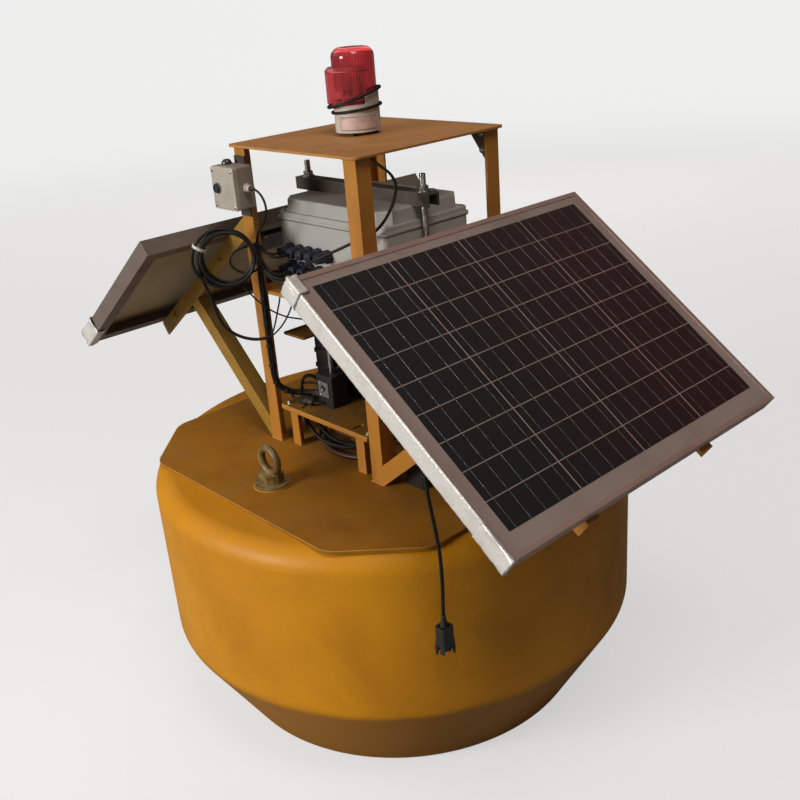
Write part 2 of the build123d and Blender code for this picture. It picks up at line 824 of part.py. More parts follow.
# The front panel's lead: out of the junction box, over the rail, then hanging to its connector
panel_lead_route = (
    (-64.2, -263.9, 843.6),
    (-100.0, -263.9, 843.6),
    (-147.0, -278.0, 828.0),
    (-190.0, -305.0, 806.0),
    (-228.0, -340.0, 774.0),
    (-258.0, -370.0, 726.0),
    (-278.0, -391.0, 672.0),
    (-283.0, -401.0, 614.0),
    (-276.0, -404.0, 560.0),
    (-269.0, -405.0, 505.0),
    (-268.0, -405.0, 450.0),
    (-271.0, -405.0, 405.0),
    (-271.0, -405.0, 378.0),
)
cord("panel_lead", panel_lead_route, panel_lead_diameter)

connector_top = Vector(*panel_lead_route[-1])
with BuildPart() as panel_connector:
    with BuildSketch(Plane(connector_top, z_dir=(0, 0, -1))):
        Circle(connector_neck_radius)
    extrude(amount=connector_neck_length)
    with BuildSketch(Plane(connector_top - Vector(0, 0, connector_neck_length), z_dir=(0, 0, -1))):
        RectangleRounded(connector_depth, connector_width, connector_round)
    extrude(amount=connector_length - connector_neck_length)
    with BuildSketch(Plane(connector_top - Vector(0, 0, connector_length), z_dir=(0, 0, -1))):
        latch_place = (connector_depth - latch_thickness) / 2
        with Locations((latch_place, 0), (-latch_place, 0)):
            Rectangle(latch_thickness, connector_width / 2)
    extrude(amount=latch_length)
save(panel_connector, "panel_connector")

# The beacon's lead: under the top plate, round the lid's corner and back into a gland
beacon_lead_route = (
    (5.0, 20.0, 1065.0),
    (5.0, 20.0, 1043.0),
    (3.0, 8.0, 1023.0),
    (-6.0, -18.0, 1008.0),
    (-22.0, -56.0, 1002.0),
    (-42.0, -98.0, 1000.0),
    (-62.0, -136.0, 992.0),
    (-84.0, -156.0, 972.0),
    (-104.0, -158.0, 946.0),
    (-118.0, -140.0, 926.0),
    (-132.0, -110.0, 914.0),
    (-150.0, -80.0, 900.0),
    (-167.0, -51.0, 886.0),
    (-171.7, -25.0, 872.0),
    (-165.4, -5.5, 867.0),
    (-149.0, 6.0, 866.0),
    (-130.2, 6.0, 866.0),
)
cord("beacon_lead", beacon_lead_route, beacon_lead_diameter)

# The beacon's spare lead is wound twice round it: height over the base's top, tilt, radius, shift left
turn_rows = ((10.0, 17.0, 47.6, 3.0), (-8.5, 6.5, 42.6, 0.0))
with BuildPart() as beacon_lead_turns:
    for turn_height, turn_tilt, turn_radius, turn_shift in turn_rows:
        lean = sin(radians(turn_tilt))
        turn_centre = Vector(beacon_x, beacon_y, base_top + turn_height) + turn_shift * beacon_left
        turn_normal = Vector(lean * beacon_left.X, lean * beacon_left.Y, cos(radians(turn_tilt)))
        with Locations(Plane(turn_centre, z_dir=turn_normal)):
            Torus(turn_radius, beacon_lead_diameter / 2)
save(beacon_lead_turns, "beacon_lead_turns")

# The switch box's lead drops to the top of the bundle on the left leg
switch_lead_route = (
    (-180.5, 100.3, 991.0),
    (-180.5, 87.9, 991.0),
    (-179.1, 76.3, 984.4),
    (-177.0, 69.3, 972.0),
    (-174.3, 70.1, 956.3),
    (-172.0, 79.0, 941.0),
    (-170.0, 93.0, 927.5),
    (-168.0, 109.0, 914.5),
    (-166.2, 121.0, 901.5),
    (-165.9, 124.5, 890.8),
)
cord("switch_lead", switch_lead_route, thin_lead_diameter)

# The bundle runs down the left leg's edge and over the lower shelf to the logger
bundle_route = (
    (-165.8, 127.2, 890.0),
    (-165.8, 126.8, 830.0),
    (-165.8, 127.2, 770.0),
    (-165.8, 126.8, 710.0),
    (-165.8, 127.2, 665.0),
    (-165.6, 127.0, 627.0),
    (-155.7, 122.6, 607.9),
    (-138.1, 114.0, 594.9),
    (-117.0, 102.5, 591.0),
    (-104.5, 85.5, 590.0),
    (-101.5, 66.4, 590.0),
)
cord("leg_cable_bundle", bundle_route, bundle_diameter)

# A coil of spare sensor cable is tied to the bundle, and its loose end hangs in a loop
coil_centre = Vector(coil_x, coil_y, coil_z)
coil_normal = Vector(-0.56, -0.8285, 0.0)
with BuildPart() as cable_coil:
    with Locations(Plane(coil_centre, z_dir=coil_normal)):
        Torus(coil_radius, coil_bundle_radius)
save(cable_coil, "cable_coil")

sensor_cable_route = (
    (-267.5, 177.4, 835.5),
    (-260.9, 172.9, 822.8),
    (-255.9, 169.5, 798.0),
    (-251.4, 166.4, 772.0),
    (-241.8, 160.0, 746.0),
    (-224.4, 148.3, 727.0),
    (-203.0, 133.8, 716.0),
    (-181.9, 119.6, 713.4),
    (-169.9, 111.4, 717.0),
)
cord("sensor_cable", sensor_cable_route, sensor_cable_diameter)

# A maroon hose lies under the lower shelf between two fittings on the deck
hose_route = (
    (-96.0, 86.0, 500.3),
    (-112.0, 66.0, 500.3),
    (-128.0, 42.0, 500.3),
    (-136.0, 12.0, 500.3),
    (-136.0, -18.0, 500.3),
    (-128.0, -46.0, 500.3),
    (-113.0, -68.0, 500.3),
    (-96.0, -84.0, 500.3),
)
cord("sample_hose", hose_route, hose_diameter)

with BuildPart() as hose_fittings:
    for end, inner in ((hose_route[0], hose_route[1]), (hose_route[-1], hose_route[-2])):
        outward = Vector(end[0] - inner[0], end[1] - inner[1], 0).normalized()
        with BuildSketch(Plane((end[0], end[1], deck_top), x_dir=outward)):
            with Locations((fitting_length / 2, 0)):
                Rectangle(fitting_length, fitting_width)
        extrude(amount=fitting_height)
save(hose_fittings, "hose_fittings")
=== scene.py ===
# %% [markdown]
# # Dressing a water quality buoy
# The CAD model already holds every rigid piece of the buoy at its real size, in metres, with +Z up.
# This scene loads those pieces as a fixed frame, gives each one a finish, and adds what CAD leaves out:
# solar cells, hanging cables, nuts, threads, wrinkled film and weather.

import json
import math

import bmesh
import bpy
from mathutils import Matrix, Vector, noise


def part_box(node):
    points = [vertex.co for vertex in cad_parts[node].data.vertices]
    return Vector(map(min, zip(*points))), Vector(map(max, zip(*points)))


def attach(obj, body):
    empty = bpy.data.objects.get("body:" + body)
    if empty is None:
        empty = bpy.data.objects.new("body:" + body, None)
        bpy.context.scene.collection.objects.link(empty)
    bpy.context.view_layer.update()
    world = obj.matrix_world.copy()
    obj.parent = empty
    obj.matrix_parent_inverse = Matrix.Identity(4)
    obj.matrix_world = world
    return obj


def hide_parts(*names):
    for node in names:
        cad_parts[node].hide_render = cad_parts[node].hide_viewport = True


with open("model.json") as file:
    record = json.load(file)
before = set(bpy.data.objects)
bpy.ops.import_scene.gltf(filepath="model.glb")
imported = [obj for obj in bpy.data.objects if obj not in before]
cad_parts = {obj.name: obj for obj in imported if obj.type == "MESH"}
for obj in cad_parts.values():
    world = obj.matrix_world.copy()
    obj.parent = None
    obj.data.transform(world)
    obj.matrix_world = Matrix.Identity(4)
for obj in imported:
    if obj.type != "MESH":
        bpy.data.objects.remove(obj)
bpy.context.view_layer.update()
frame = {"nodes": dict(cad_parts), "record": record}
cad = frame["nodes"]
print("CAD pieces:", len(cad))

# %% [markdown]
# ## The camera
# The photograph was taken from the front left and a little above, with the camera leaning sideways by
# almost five degrees. A matrix whose columns are the picture's right, the picture's up and the way back
# to the viewer says all of this at once.

# %% Camera at the photograph's viewpoint
view_azimuth = math.radians(-41.4)
view_elevation = math.radians(22.84)
view_roll = math.radians(4.6)
look = Vector((
    -math.sin(view_azimuth) * math.cos(view_elevation),
    math.cos(view_azimuth) * math.cos(view_elevation),
    -math.sin(view_elevation),
))
level_right = look.cross(Vector((0, 0, 1))).normalized()
level_down = look.cross(level_right)
picture_right = math.cos(view_roll) * level_right + math.sin(view_roll) * level_down
picture_down = math.cos(view_roll) * level_down - math.sin(view_roll) * level_right

camera_data = bpy.data.cameras.new("photo_camera")
camera_data.sensor_width = 36.0
camera_data.lens = 44.96
camera = bpy.data.objects.new("photo_camera", camera_data)
bpy.context.scene.collection.objects.link(camera)
camera_turn = Matrix((picture_right, -picture_down, -look)).transposed().to_4x4()
camera.matrix_world = Matrix.Translation((-1.15364, -1.34582, 1.30429)) @ camera_turn
bpy.context.scene.camera = camera
print("Camera lens:", camera_data.lens, "mm")

# %% [markdown]
# ## Helpers for finishes
# Real paint, plastic and foam are never one flat colour. A few shader node groups hold what the finishes
# share: cloudy colour changes, streaks that run down, wear and a painted highlight where an edge is sharp,
# and dust on what faces up. Each material keeps its own Principled BSDF and sets its own amounts.


# %% A short way to add and join shader nodes
def add_node(tree, kind, **settings):
    """Adds a node, and sets its properties, or its inputs where the name is an input's."""
    node = tree.nodes.new(kind)
    for name, value in settings.items():
        if hasattr(node, name):
            setattr(node, name, value)
        else:
            node.inputs[name.replace("_", " ")].default_value = value
    return node


def effect_group(name, inputs, outputs):
    """An empty node group with named sockets, and its input and output nodes."""
    group = bpy.data.node_groups.new(name, "ShaderNodeTree")
    for label, kind, value in inputs:
        socket = group.interface.new_socket(label, in_out="INPUT", socket_type=kind)
        socket.default_value = value
    for label, kind in outputs:
        group.interface.new_socket(label, in_out="OUTPUT", socket_type=kind)
    return group, group.nodes.new("NodeGroupInput"), group.nodes.new("NodeGroupOutput")


# %% Cloudy patches: slow colour changes with a finer grain inside them
clouds, given, made = effect_group(
    "cloudy_patches",
    [("Scale", "NodeSocketFloat", 8.0), ("Low", "NodeSocketFloat", 0.4), ("High", "NodeSocketFloat", 0.65),
     ("Stretch", "NodeSocketVector", (1, 1, 1))],
    [("Mask", "NodeSocketFloat"), ("Grain", "NodeSocketFloat")],
)
place = add_node(clouds, "ShaderNodeTexCoord")
stretch = add_node(clouds, "ShaderNodeVectorMath", operation="MULTIPLY")
slow = add_node(clouds, "ShaderNodeTexNoise", Detail=6.0, Roughness=0.6, Distortion=0.4)
ramp = add_node(clouds, "ShaderNodeMapRange", interpolation_type="SMOOTHSTEP")
clouds.links.new(place.outputs["Object"], stretch.inputs[0])
clouds.links.new(given.outputs["Stretch"], stretch.inputs[1])
clouds.links.new(stretch.outputs[0], slow.inputs["Vector"])
clouds.links.new(given.outputs["Scale"], slow.inputs["Scale"])
clouds.links.new(slow.outputs["Fac"], ramp.inputs["Value"])
clouds.links.new(given.outputs["Low"], ramp.inputs["From Min"])
clouds.links.new(given.outputs["High"], ramp.inputs["From Max"])
clouds.links.new(ramp.outputs["Result"], made.inputs["Mask"])
clouds.links.new(slow.outputs["Fac"], made.inputs["Grain"])

# %% Worn edges and a painted edge highlight: where a rounded copy of the surface leans away from the flat one
edges, given, made = effect_group(
    "edge_wear_and_painted_highlight",
    [("Width", "NodeSocketFloat", 0.002), ("Amount", "NodeSocketFloat", 4.0), ("Scale", "NodeSocketFloat", 60.0)],
    [("Mask", "NodeSocketFloat"), ("Soft Normal", "NodeSocketVector")],
)
rounded = add_node(edges, "ShaderNodeBevel", samples=6)
shape = add_node(edges, "ShaderNodeNewGeometry")
lean = add_node(edges, "ShaderNodeVectorMath", operation="DOT_PRODUCT")
away = add_node(edges, "ShaderNodeMath", operation="SUBTRACT")
away.inputs[0].default_value = 1.0
place = add_node(edges, "ShaderNodeTexCoord")
edge_breakup_noise = add_node(edges, "ShaderNodeTexNoise", Detail=5.0, Roughness=0.7)
uneven = add_node(edges, "ShaderNodeMath", operation="MULTIPLY")
strong = add_node(edges, "ShaderNodeMath", operation="MULTIPLY", use_clamp=True)
edges.links.new(given.outputs["Width"], rounded.inputs["Radius"])
edges.links.new(rounded.outputs["Normal"], lean.inputs[0])
edges.links.new(shape.outputs["Normal"], lean.inputs[1])
edges.links.new(lean.outputs["Value"], away.inputs[1])
edges.links.new(place.outputs["Object"], edge_breakup_noise.inputs["Vector"])
edges.links.new(given.outputs["Scale"], edge_breakup_noise.inputs["Scale"])
edges.links.new(away.outputs[0], uneven.inputs[0])
edges.links.new(edge_breakup_noise.outputs["Fac"], uneven.inputs[1])
edges.links.new(uneven.outputs[0], strong.inputs[0])
edges.links.new(given.outputs["Amount"], strong.inputs[1])
edges.links.new(strong.outputs[0], made.inputs["Mask"])
edges.links.new(rounded.outputs["Normal"], made.inputs["Soft Normal"])

# %% Settled dust: strongest on faces that look up, broken by noise
dust, given, made = effect_group(
    "settled_dust",
    [("Amount", "NodeSocketFloat", 0.5), ("Scale", "NodeSocketFloat", 14.0)],
    [("Mask", "NodeSocketFloat")],
)
shape = add_node(dust, "ShaderNodeNewGeometry")
upward = add_node(dust, "ShaderNodeSeparateXYZ")
place = add_node(dust, "ShaderNodeTexCoord")
patches = add_node(dust, "ShaderNodeTexNoise", Detail=7.0, Roughness=0.65)
contrast = add_node(dust, "ShaderNodeMapRange", interpolation_type="SMOOTHSTEP")
contrast.inputs["From Min"].default_value = 0.35
contrast.inputs["From Max"].default_value = 0.75
facing = add_node(dust, "ShaderNodeMath", operation="MULTIPLY", use_clamp=True)
scaled = add_node(dust, "ShaderNodeMath", operation="MULTIPLY", use_clamp=True)
dust.links.new(shape.outputs["Normal"], upward.inputs[0])
dust.links.new(place.outputs["Object"], patches.inputs["Vector"])
dust.links.new(given.outputs["Scale"], patches.inputs["Scale"])
dust.links.new(patches.outputs["Fac"], contrast.inputs["Value"])
dust.links.new(upward.outputs["Z"], facing.inputs[0])
dust.links.new(contrast.outputs["Result"], facing.inputs[1])
dust.links.new(facing.outputs[0], scaled.inputs[0])
dust.links.new(given.outputs["Amount"], scaled.inputs[1])
dust.links.new(scaled.outputs[0], made.inputs["Mask"])
print("Shared effects:", [group.name for group in (clouds, edges, dust)])


# %% [markdown]
# ## One recipe for most finishes
# Paint, moulded plastic, rubber and foam differ in colour, gloss and grain, but they are built in the same
# order: a base colour, darker clouds, worn edges with a painted highlight, dust, then roughness and a fine
# bump. A function builds that chain, so a finish is one short call.


# %% The finish recipe
def weathered(name, colour, cloud, edge_wear_highlight_colour, dusty=(0.35, 0.30, 0.24), rough=0.5, metal=0.0, coat=0.0,
              cloud_scale=9.0, cloud_low=0.42, cloud_high=0.72, stretch=(1, 1, 1), edge_width=0.0015,
              edge_amount=5.0, dust_amount=0.35, grain_scale=600.0, grain_depth=0.0002, grain_strength=0.3, specular=0.5):
    """A Principled material with clouds, worn edges that carry a painted highlight, dust and a fine bump."""
    material = bpy.data.materials.new(name)
    material.use_nodes = True
    tree = material.node_tree
    shader = tree.nodes["Principled BSDF"]
    shader.inputs["Coat Weight"].default_value = coat
    shader.inputs["Metallic"].default_value = metal
    shader.inputs["Specular IOR Level"].default_value = specular

    patchy = add_node(tree, "ShaderNodeGroup", node_tree=clouds)
    patchy.inputs["Scale"].default_value = cloud_scale
    patchy.inputs["Low"].default_value = cloud_low
    patchy.inputs["High"].default_value = cloud_high
    patchy.inputs["Stretch"].default_value = stretch
    wear_and_highlight_node = add_node(tree, "ShaderNodeGroup", node_tree=edges)
    wear_and_highlight_node.inputs["Width"].default_value = edge_width
    wear_and_highlight_node.inputs["Amount"].default_value = edge_amount
    settled = add_node(tree, "ShaderNodeGroup", node_tree=dust)
    settled.inputs["Amount"].default_value = dust_amount

    # The edge layer is partly wear and partly a painted highlight: a lighter colour along sharp edges.
    layers = [(patchy.outputs["Mask"], cloud), (wear_and_highlight_node.outputs["Mask"], edge_wear_highlight_colour), (settled.outputs["Mask"], dusty)]
    below = None
    for mask, tint in layers:
        mix = add_node(tree, "ShaderNodeMix", data_type="RGBA")
        mix.inputs["A"].default_value = (*colour, 1)
        mix.inputs["B"].default_value = (*tint, 1)
        tree.links.new(mask, mix.inputs["Factor"])
        if below:
            tree.links.new(below, mix.inputs["A"])
        below = mix.outputs["Result"]
    tree.links.new(below, shader.inputs["Base Color"])

    gloss = add_node(tree, "ShaderNodeMapRange")
    gloss.inputs["From Min"].default_value = 0.3
    gloss.inputs["From Max"].default_value = 0.7
    gloss.inputs["To Min"].default_value = max(0.04, rough - 0.08)
    gloss.inputs["To Max"].default_value = min(1.0, rough + 0.12)
    tree.links.new(patchy.outputs["Grain"], gloss.inputs["Value"])
    tree.links.new(gloss.outputs["Result"], shader.inputs["Roughness"])

    where = add_node(tree, "ShaderNodeTexCoord")
    grain = add_node(tree, "ShaderNodeTexNoise", Scale=grain_scale, Detail=3.0)
    bump = add_node(tree, "ShaderNodeBump", Strength=grain_strength, Distance=grain_depth)
    tree.links.new(where.outputs["Object"], grain.inputs["Vector"])
    tree.links.new(grain.outputs["Fac"], bump.inputs["Height"])
    tree.links.new(wear_and_highlight_node.outputs["Soft Normal"], bump.inputs["Normal"])
    tree.links.new(bump.outputs["Normal"], shader.inputs["Normal"])
    return material


# %% [markdown]
# ## Finishes of the buoy
# The float has a sprayed golden skin with a slight orange peel. The tower and deck carry thick yellow paint
# that has gone brown where it is handled. The boxes are warm grey plastic, and the panels are pinkish
# aluminium round near-black cells.

# %% Colours as linear red, green and blue
finishes = {
    "hull_foam": weathered(
        "golden_foam_skin", (0.64, 0.268, 0.004), (0.47, 0.178, 0.003), (0.66, 0.32, 0.02),
        dusty=(0.44, 0.24, 0.05), rough=0.48, specular=0.32,
        cloud_scale=3.2, cloud_low=0.35, cloud_high=0.75, edge_amount=1.0, dust_amount=0.25,
        grain_scale=170.0, grain_depth=0.0006, grain_strength=0.35),
    "well_steel": weathered(
        "well_paint", (0.22, 0.11, 0.025), (0.13, 0.06, 0.02), (0.35, 0.24, 0.10), rough=0.5),
    "deck_paint": weathered(
        "deck_paint", (0.36, 0.150, 0.008), (0.26, 0.100, 0.006), (0.72, 0.42, 0.08),
        dusty=(0.26, 0.15, 0.06), rough=0.62, specular=0.22,
        cloud_scale=4.5, cloud_low=0.36, cloud_high=0.72, edge_width=0.0025, edge_amount=7.0,
        grain_scale=120.0, grain_depth=0.0004),
    "eye_paint": weathered(
        "khaki_eye_paint", (0.30, 0.21, 0.065), (0.13, 0.075, 0.020), (0.46, 0.36, 0.16), rough=0.4,
        cloud_scale=30.0, cloud_low=0.36, cloud_high=0.62, grain_scale=220.0, grain_depth=0.0005),
    "tower_paint": weathered(
        "amber_tower_paint", (0.47, 0.198, 0.030), (0.34, 0.128, 0.020), (0.66, 0.36, 0.08),
        dusty=(0.30, 0.19, 0.10), rough=0.42, specular=0.4,
        cloud_scale=11.0, cloud_low=0.45, cloud_high=0.78, stretch=(1, 1, 0.35), edge_amount=6.0,
        dust_amount=0.22, grain_scale=240.0, grain_depth=0.0003),
    "dark_steel": weathered(
        "dark_bare_steel", (0.080, 0.064, 0.050), (0.045, 0.034, 0.026), (0.30, 0.27, 0.23), rough=0.68,
        metal=0.3, cloud_scale=26.0),
    "enclosure_grey": weathered(
        "warm_grey_box", (0.43, 0.425, 0.405), (0.32, 0.30, 0.265), (0.60, 0.59, 0.55), rough=0.45,
        cloud_scale=6.0, cloud_low=0.45, cloud_high=0.85, edge_amount=2.5, dust_amount=0.45,
        grain_scale=900.0, grain_depth=0.0001),
    "rod_steel": weathered(
        "zinc_rod", (0.52, 0.51, 0.48), (0.32, 0.29, 0.25), (0.78, 0.77, 0.74), rough=0.3, metal=1.0,
        cloud_scale=40.0, dust_amount=0.1),
    "cap_grey": weathered(
        "grey_cap", (0.16, 0.145, 0.13), (0.09, 0.08, 0.07), (0.30, 0.28, 0.26), rough=0.6),
    "gland_black": weathered(
        "dark_gland_plastic", (0.012, 0.016, 0.036), (0.007, 0.008, 0.014), (0.06, 0.07, 0.12), rough=0.5,
        cloud_scale=50.0, dust_amount=0.12),
    "light_plastic": weathered(
        "pale_moulded_plastic", (0.62, 0.57, 0.52), (0.50, 0.44, 0.38), (0.75, 0.72, 0.68), rough=0.35,
        cloud_scale=12.0, edge_amount=2.0, dust_amount=0.18, grain_scale=1200.0, grain_depth=0.0001),
    "cell_lens": weathered(
        "smoked_lens", (0.030, 0.028, 0.026), (0.020, 0.018, 0.017), (0.16, 0.15, 0.14), rough=0.16,
        coat=0.6, dust_amount=0.2),
    "black_rubber": weathered(
        "black_rubber", (0.016, 0.015, 0.014), (0.010, 0.009, 0.009), (0.06, 0.06, 0.055), rough=0.7),
    "module_black": weathered(
        "black_module", (0.015, 0.0145, 0.014), (0.010, 0.0095, 0.009), (0.09, 0.085, 0.08), rough=0.45,
        cloud_scale=30.0, dust_amount=0.14),
    "cord_black": weathered(
        "black_cord_jacket", (0.008, 0.008, 0.007), (0.006, 0.006, 0.006), (0.03, 0.03, 0.027), rough=0.5, specular=0.3,
        cloud_scale=60.0, dust_amount=0.04, grain_scale=1500.0, grain_depth=0.00005),
    "hose_maroon": weathered(
        "maroon_hose", (0.060, 0.009, 0.007), (0.035, 0.006, 0.005), (0.12, 0.03, 0.02), rough=0.42,
        cloud_scale=40.0),
    "frame_aluminium": weathered(
        "pinkish_aluminium", (0.49, 0.325, 0.28), (0.36, 0.235, 0.20), (0.72, 0.60, 0.55), rough=0.40,
        metal=0.3, cloud_scale=14.0, cloud_low=0.4, cloud_high=0.8, edge_amount=3.0, dust_amount=0.12,
        grain_scale=700.0, grain_depth=0.0001),
    "solar_cells": weathered(
        "backsheet_under_glass", (0.38, 0.30, 0.27), (0.31, 0.235, 0.21), (0.5, 0.5, 0.5), rough=0.4,
        coat=0.5, cloud_scale=6.0, edge_amount=0.0, dust_amount=0.1),
}
print("Finishes:", len(finishes))

# %% Painted shade on the float's lower taper: a darker brown below the knuckle, its edge broken by noise
foam_tree = finishes["hull_foam"].node_tree
foam_shader = foam_tree.nodes["Principled BSDF"]
foam_colour = foam_shader.inputs["Base Color"].links[0].from_socket
taper_shade_place = add_node(foam_tree, "ShaderNodeTexCoord")
taper_shade_height = add_node(foam_tree, "ShaderNodeSeparateXYZ")
taper_shade_noise = add_node(foam_tree, "ShaderNodeTexNoise", Scale=9.0, Detail=5.0)
taper_shade_edge = add_node(foam_tree, "ShaderNodeMath", operation="MULTIPLY_ADD")
taper_shade_edge.inputs[1].default_value = 0.02
taper_shade_ramp = add_node(foam_tree, "ShaderNodeMapRange", interpolation_type="SMOOTHSTEP")
taper_shade_ramp.inputs["From Min"].default_value = 0.205
taper_shade_ramp.inputs["From Max"].default_value = 0.175
taper_shade_ramp.inputs["To Max"].default_value = 0.85
taper_shade_mix = add_node(foam_tree, "ShaderNodeMix", data_type="RGBA")
# This darker brown is painted shade on the downward-facing taper.
taper_shade_mix.inputs["B"].default_value = (0.34, 0.135, 0.002, 1)
foam_tree.links.new(taper_shade_place.outputs["Object"], taper_shade_height.inputs[0])
foam_tree.links.new(taper_shade_place.outputs["Object"], taper_shade_noise.inputs["Vector"])
foam_tree.links.new(taper_shade_noise.outputs["Fac"], taper_shade_edge.inputs[0])
foam_tree.links.new(taper_shade_height.outputs["Z"], taper_shade_edge.inputs[2])
foam_tree.links.new(taper_shade_edge.outputs[0], taper_shade_ramp.inputs["Value"])
foam_tree.links.new(taper_shade_ramp.outputs["Result"], taper_shade_mix.inputs["Factor"])
foam_tree.links.new(foam_colour, taper_shade_mix.inputs["A"])
foam_tree.links.new(taper_shade_mix.outputs["Result"], foam_shader.inputs["Base Color"])

# %% [markdown]
# Some pieces share a slot in the record but get their own finish: the shelf and the plate under the devices,
# the rear panel's dull frame, rails and struts, and the switch box's body are darker copies, as painted shade.

# %% Finishes of single pieces
# Painted shade: a darker copy of the tower paint for the shelf and the plate under the devices.
shelf_shade_paint = weathered(
    "shelf_paint_in_painted_shade", (0.24, 0.105, 0.010), (0.13, 0.062, 0.012), (0.78, 0.42, 0.06),
    dusty=(0.16, 0.105, 0.05), rough=0.5, specular=0.35, cloud_scale=16.0, cloud_low=0.38, cloud_high=0.66,
    edge_width=0.0012, edge_amount=9.0, dust_amount=0.5, grain_scale=240.0, grain_depth=0.0003)
piece_finishes = {
    "instrument_shelf": shelf_shade_paint,
    "device_plate": shelf_shade_paint,
    "top_plate": weathered(
        "dusty_top_paint", (0.50, 0.222, 0.055), (0.40, 0.175, 0.045), (0.66, 0.38, 0.12),
        dusty=(0.34, 0.24, 0.15), rough=0.5, specular=0.35, cloud_scale=9.0, cloud_low=0.4, cloud_high=0.7,
        edge_amount=5.0, dust_amount=0.35, grain_scale=240.0, grain_depth=0.0003),
    # Painted shade: a darker khaki copy of the tower paint for the rear rails and struts.
    "rear_panel_rails": weathered(
        "rail_paint_in_painted_shade", (0.34, 0.190, 0.028), (0.24, 0.130, 0.022), (0.55, 0.36, 0.08),
        dusty=(0.25, 0.18, 0.09), rough=0.46, specular=0.35, cloud_scale=12.0, edge_amount=6.0),
    # Painted shade: a dark bronze copy of the frame aluminium for the rear panel's frame.
    "rear_panel_frame": weathered(
        "shaded_rear_aluminium", (0.20, 0.160, 0.135), (0.15, 0.115, 0.095), (0.40, 0.35, 0.30), rough=0.46,
        metal=0.25, cloud_scale=9.0, edge_amount=3.0, dust_amount=0.15),
    # Painted shade: a darker copy of the cover's plastic for the switch box's body.
    "switch_box_body": weathered(
        "shaded_box_plastic", (0.30, 0.265, 0.225), (0.22, 0.190, 0.160), (0.55, 0.50, 0.44), rough=0.45,
        cloud_scale=20.0, edge_amount=3.0, dust_amount=0.25),
    "switch_box_cover": weathered(
        "grey_box_cover", (0.44, 0.40, 0.34), (0.34, 0.31, 0.26), (0.60, 0.56, 0.50), rough=0.42,
        cloud_scale=20.0, edge_amount=2.5, dust_amount=0.2),
    "logger_face": weathered(
        "brushed_grey_face", (0.23, 0.23, 0.225), (0.15, 0.15, 0.145), (0.5, 0.5, 0.5), rough=0.35,
        metal=0.5, cloud_scale=60.0, stretch=(1, 1, 8)),
}
piece_finishes["rear_panel_struts"] = piece_finishes["rear_panel_rails"]
print("Pieces with their own finish:", list(piece_finishes))

# %% [markdown]
# ## Red dome, mirror and lamp
# The beacon's dome is a clear red plastic, so light has to pass through it: it takes transmission and no
# clouds. The mirror inside is bare chrome and the lamp is frosted.

# %% See-through and mirror finishes
dome_red = bpy.data.materials.new("clear_red_dome")
dome_red.use_nodes = True
dome_shader = dome_red.node_tree.nodes["Principled BSDF"]
dome_shader.inputs["Base Color"].default_value = (0.74, 0.20, 0.22, 1)
dome_shader.inputs["Roughness"].default_value = 0.09
dome_shader.inputs["Transmission Weight"].default_value = 0.93
dome_shader.inputs["IOR"].default_value = 1.49
finishes["red_lens"] = dome_red

mirror = bpy.data.materials.new("chromed_mirror")
mirror.use_nodes = True
mirror_shader = mirror.node_tree.nodes["Principled BSDF"]
mirror_shader.inputs["Base Color"].default_value = (0.80, 0.79, 0.78, 1)
mirror_shader.inputs["Metallic"].default_value = 1.0
mirror_shader.inputs["Roughness"].default_value = 0.12
finishes["reflector_chrome"] = mirror

lamp = bpy.data.materials.new("frosted_lamp")
lamp.use_nodes = True
lamp_shader = lamp.node_tree.nodes["Principled BSDF"]
lamp_shader.inputs["Base Color"].default_value = (0.85, 0.82, 0.76, 1)
lamp_shader.inputs["Roughness"].default_value = 0.35
finishes["lamp_glass"] = lamp

# %% Put each finish on its CAD pieces
slot_of = {entry["node"]: entry["material_slot"] for entry in frame["record"]["subparts"]}
for node_name, node in cad.items():
    node.data.materials.clear()
    node.data.materials.append(piece_finishes.get(node_name, finishes[slot_of[node_name]]))
print("CAD pieces with a finish:", len(slot_of))


# %% [markdown]
# ## Loose cords
# A cord is a fixed length of something flexible. Each one is a NURBS curve through a few control points:
# out of its gland, then down under its own weight. The curve's bevel gives it a thickness, and order 3
# keeps the bends round.


# %% Make a cord from its route
def lay_cord(name, route, diameter, finish):
    """A round cord along a NURBS route in millimetres."""
    data = bpy.data.curves.new(name, "CURVE")
    data.dimensions = "3D"
    line = data.splines.new("NURBS")
    line.points.add(len(route) - 1)
    for point, (x, y, z) in zip(line.points, route):
        point.co = (x / 1000, y / 1000, z / 1000, 1)
    line.order_u = 3
    line.use_endpoint_u = True
    data.resolution_u = 10
    data.bevel_depth = diameter / 2000
    data.bevel_resolution = 3
    data.use_fill_caps = True
    data.materials.append(finish)
    cord = bpy.data.objects.new(name, data)
    bpy.context.scene.collection.objects.link(cord)
    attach(cord, "buoy")
    return cord


def route_length(cord):
    """The length of a cord's own centreline, in metres."""
    data = cord.data.copy()
    data.bevel_depth = 0
    bare = bpy.data.objects.new("measured_line", data)
    line = bpy.data.meshes.new_from_object(bare)
    points = [vertex.co for vertex in line.vertices]
    bpy.data.objects.remove(bare)
    return sum((b - a).length for a, b in zip(points, points[1:]))


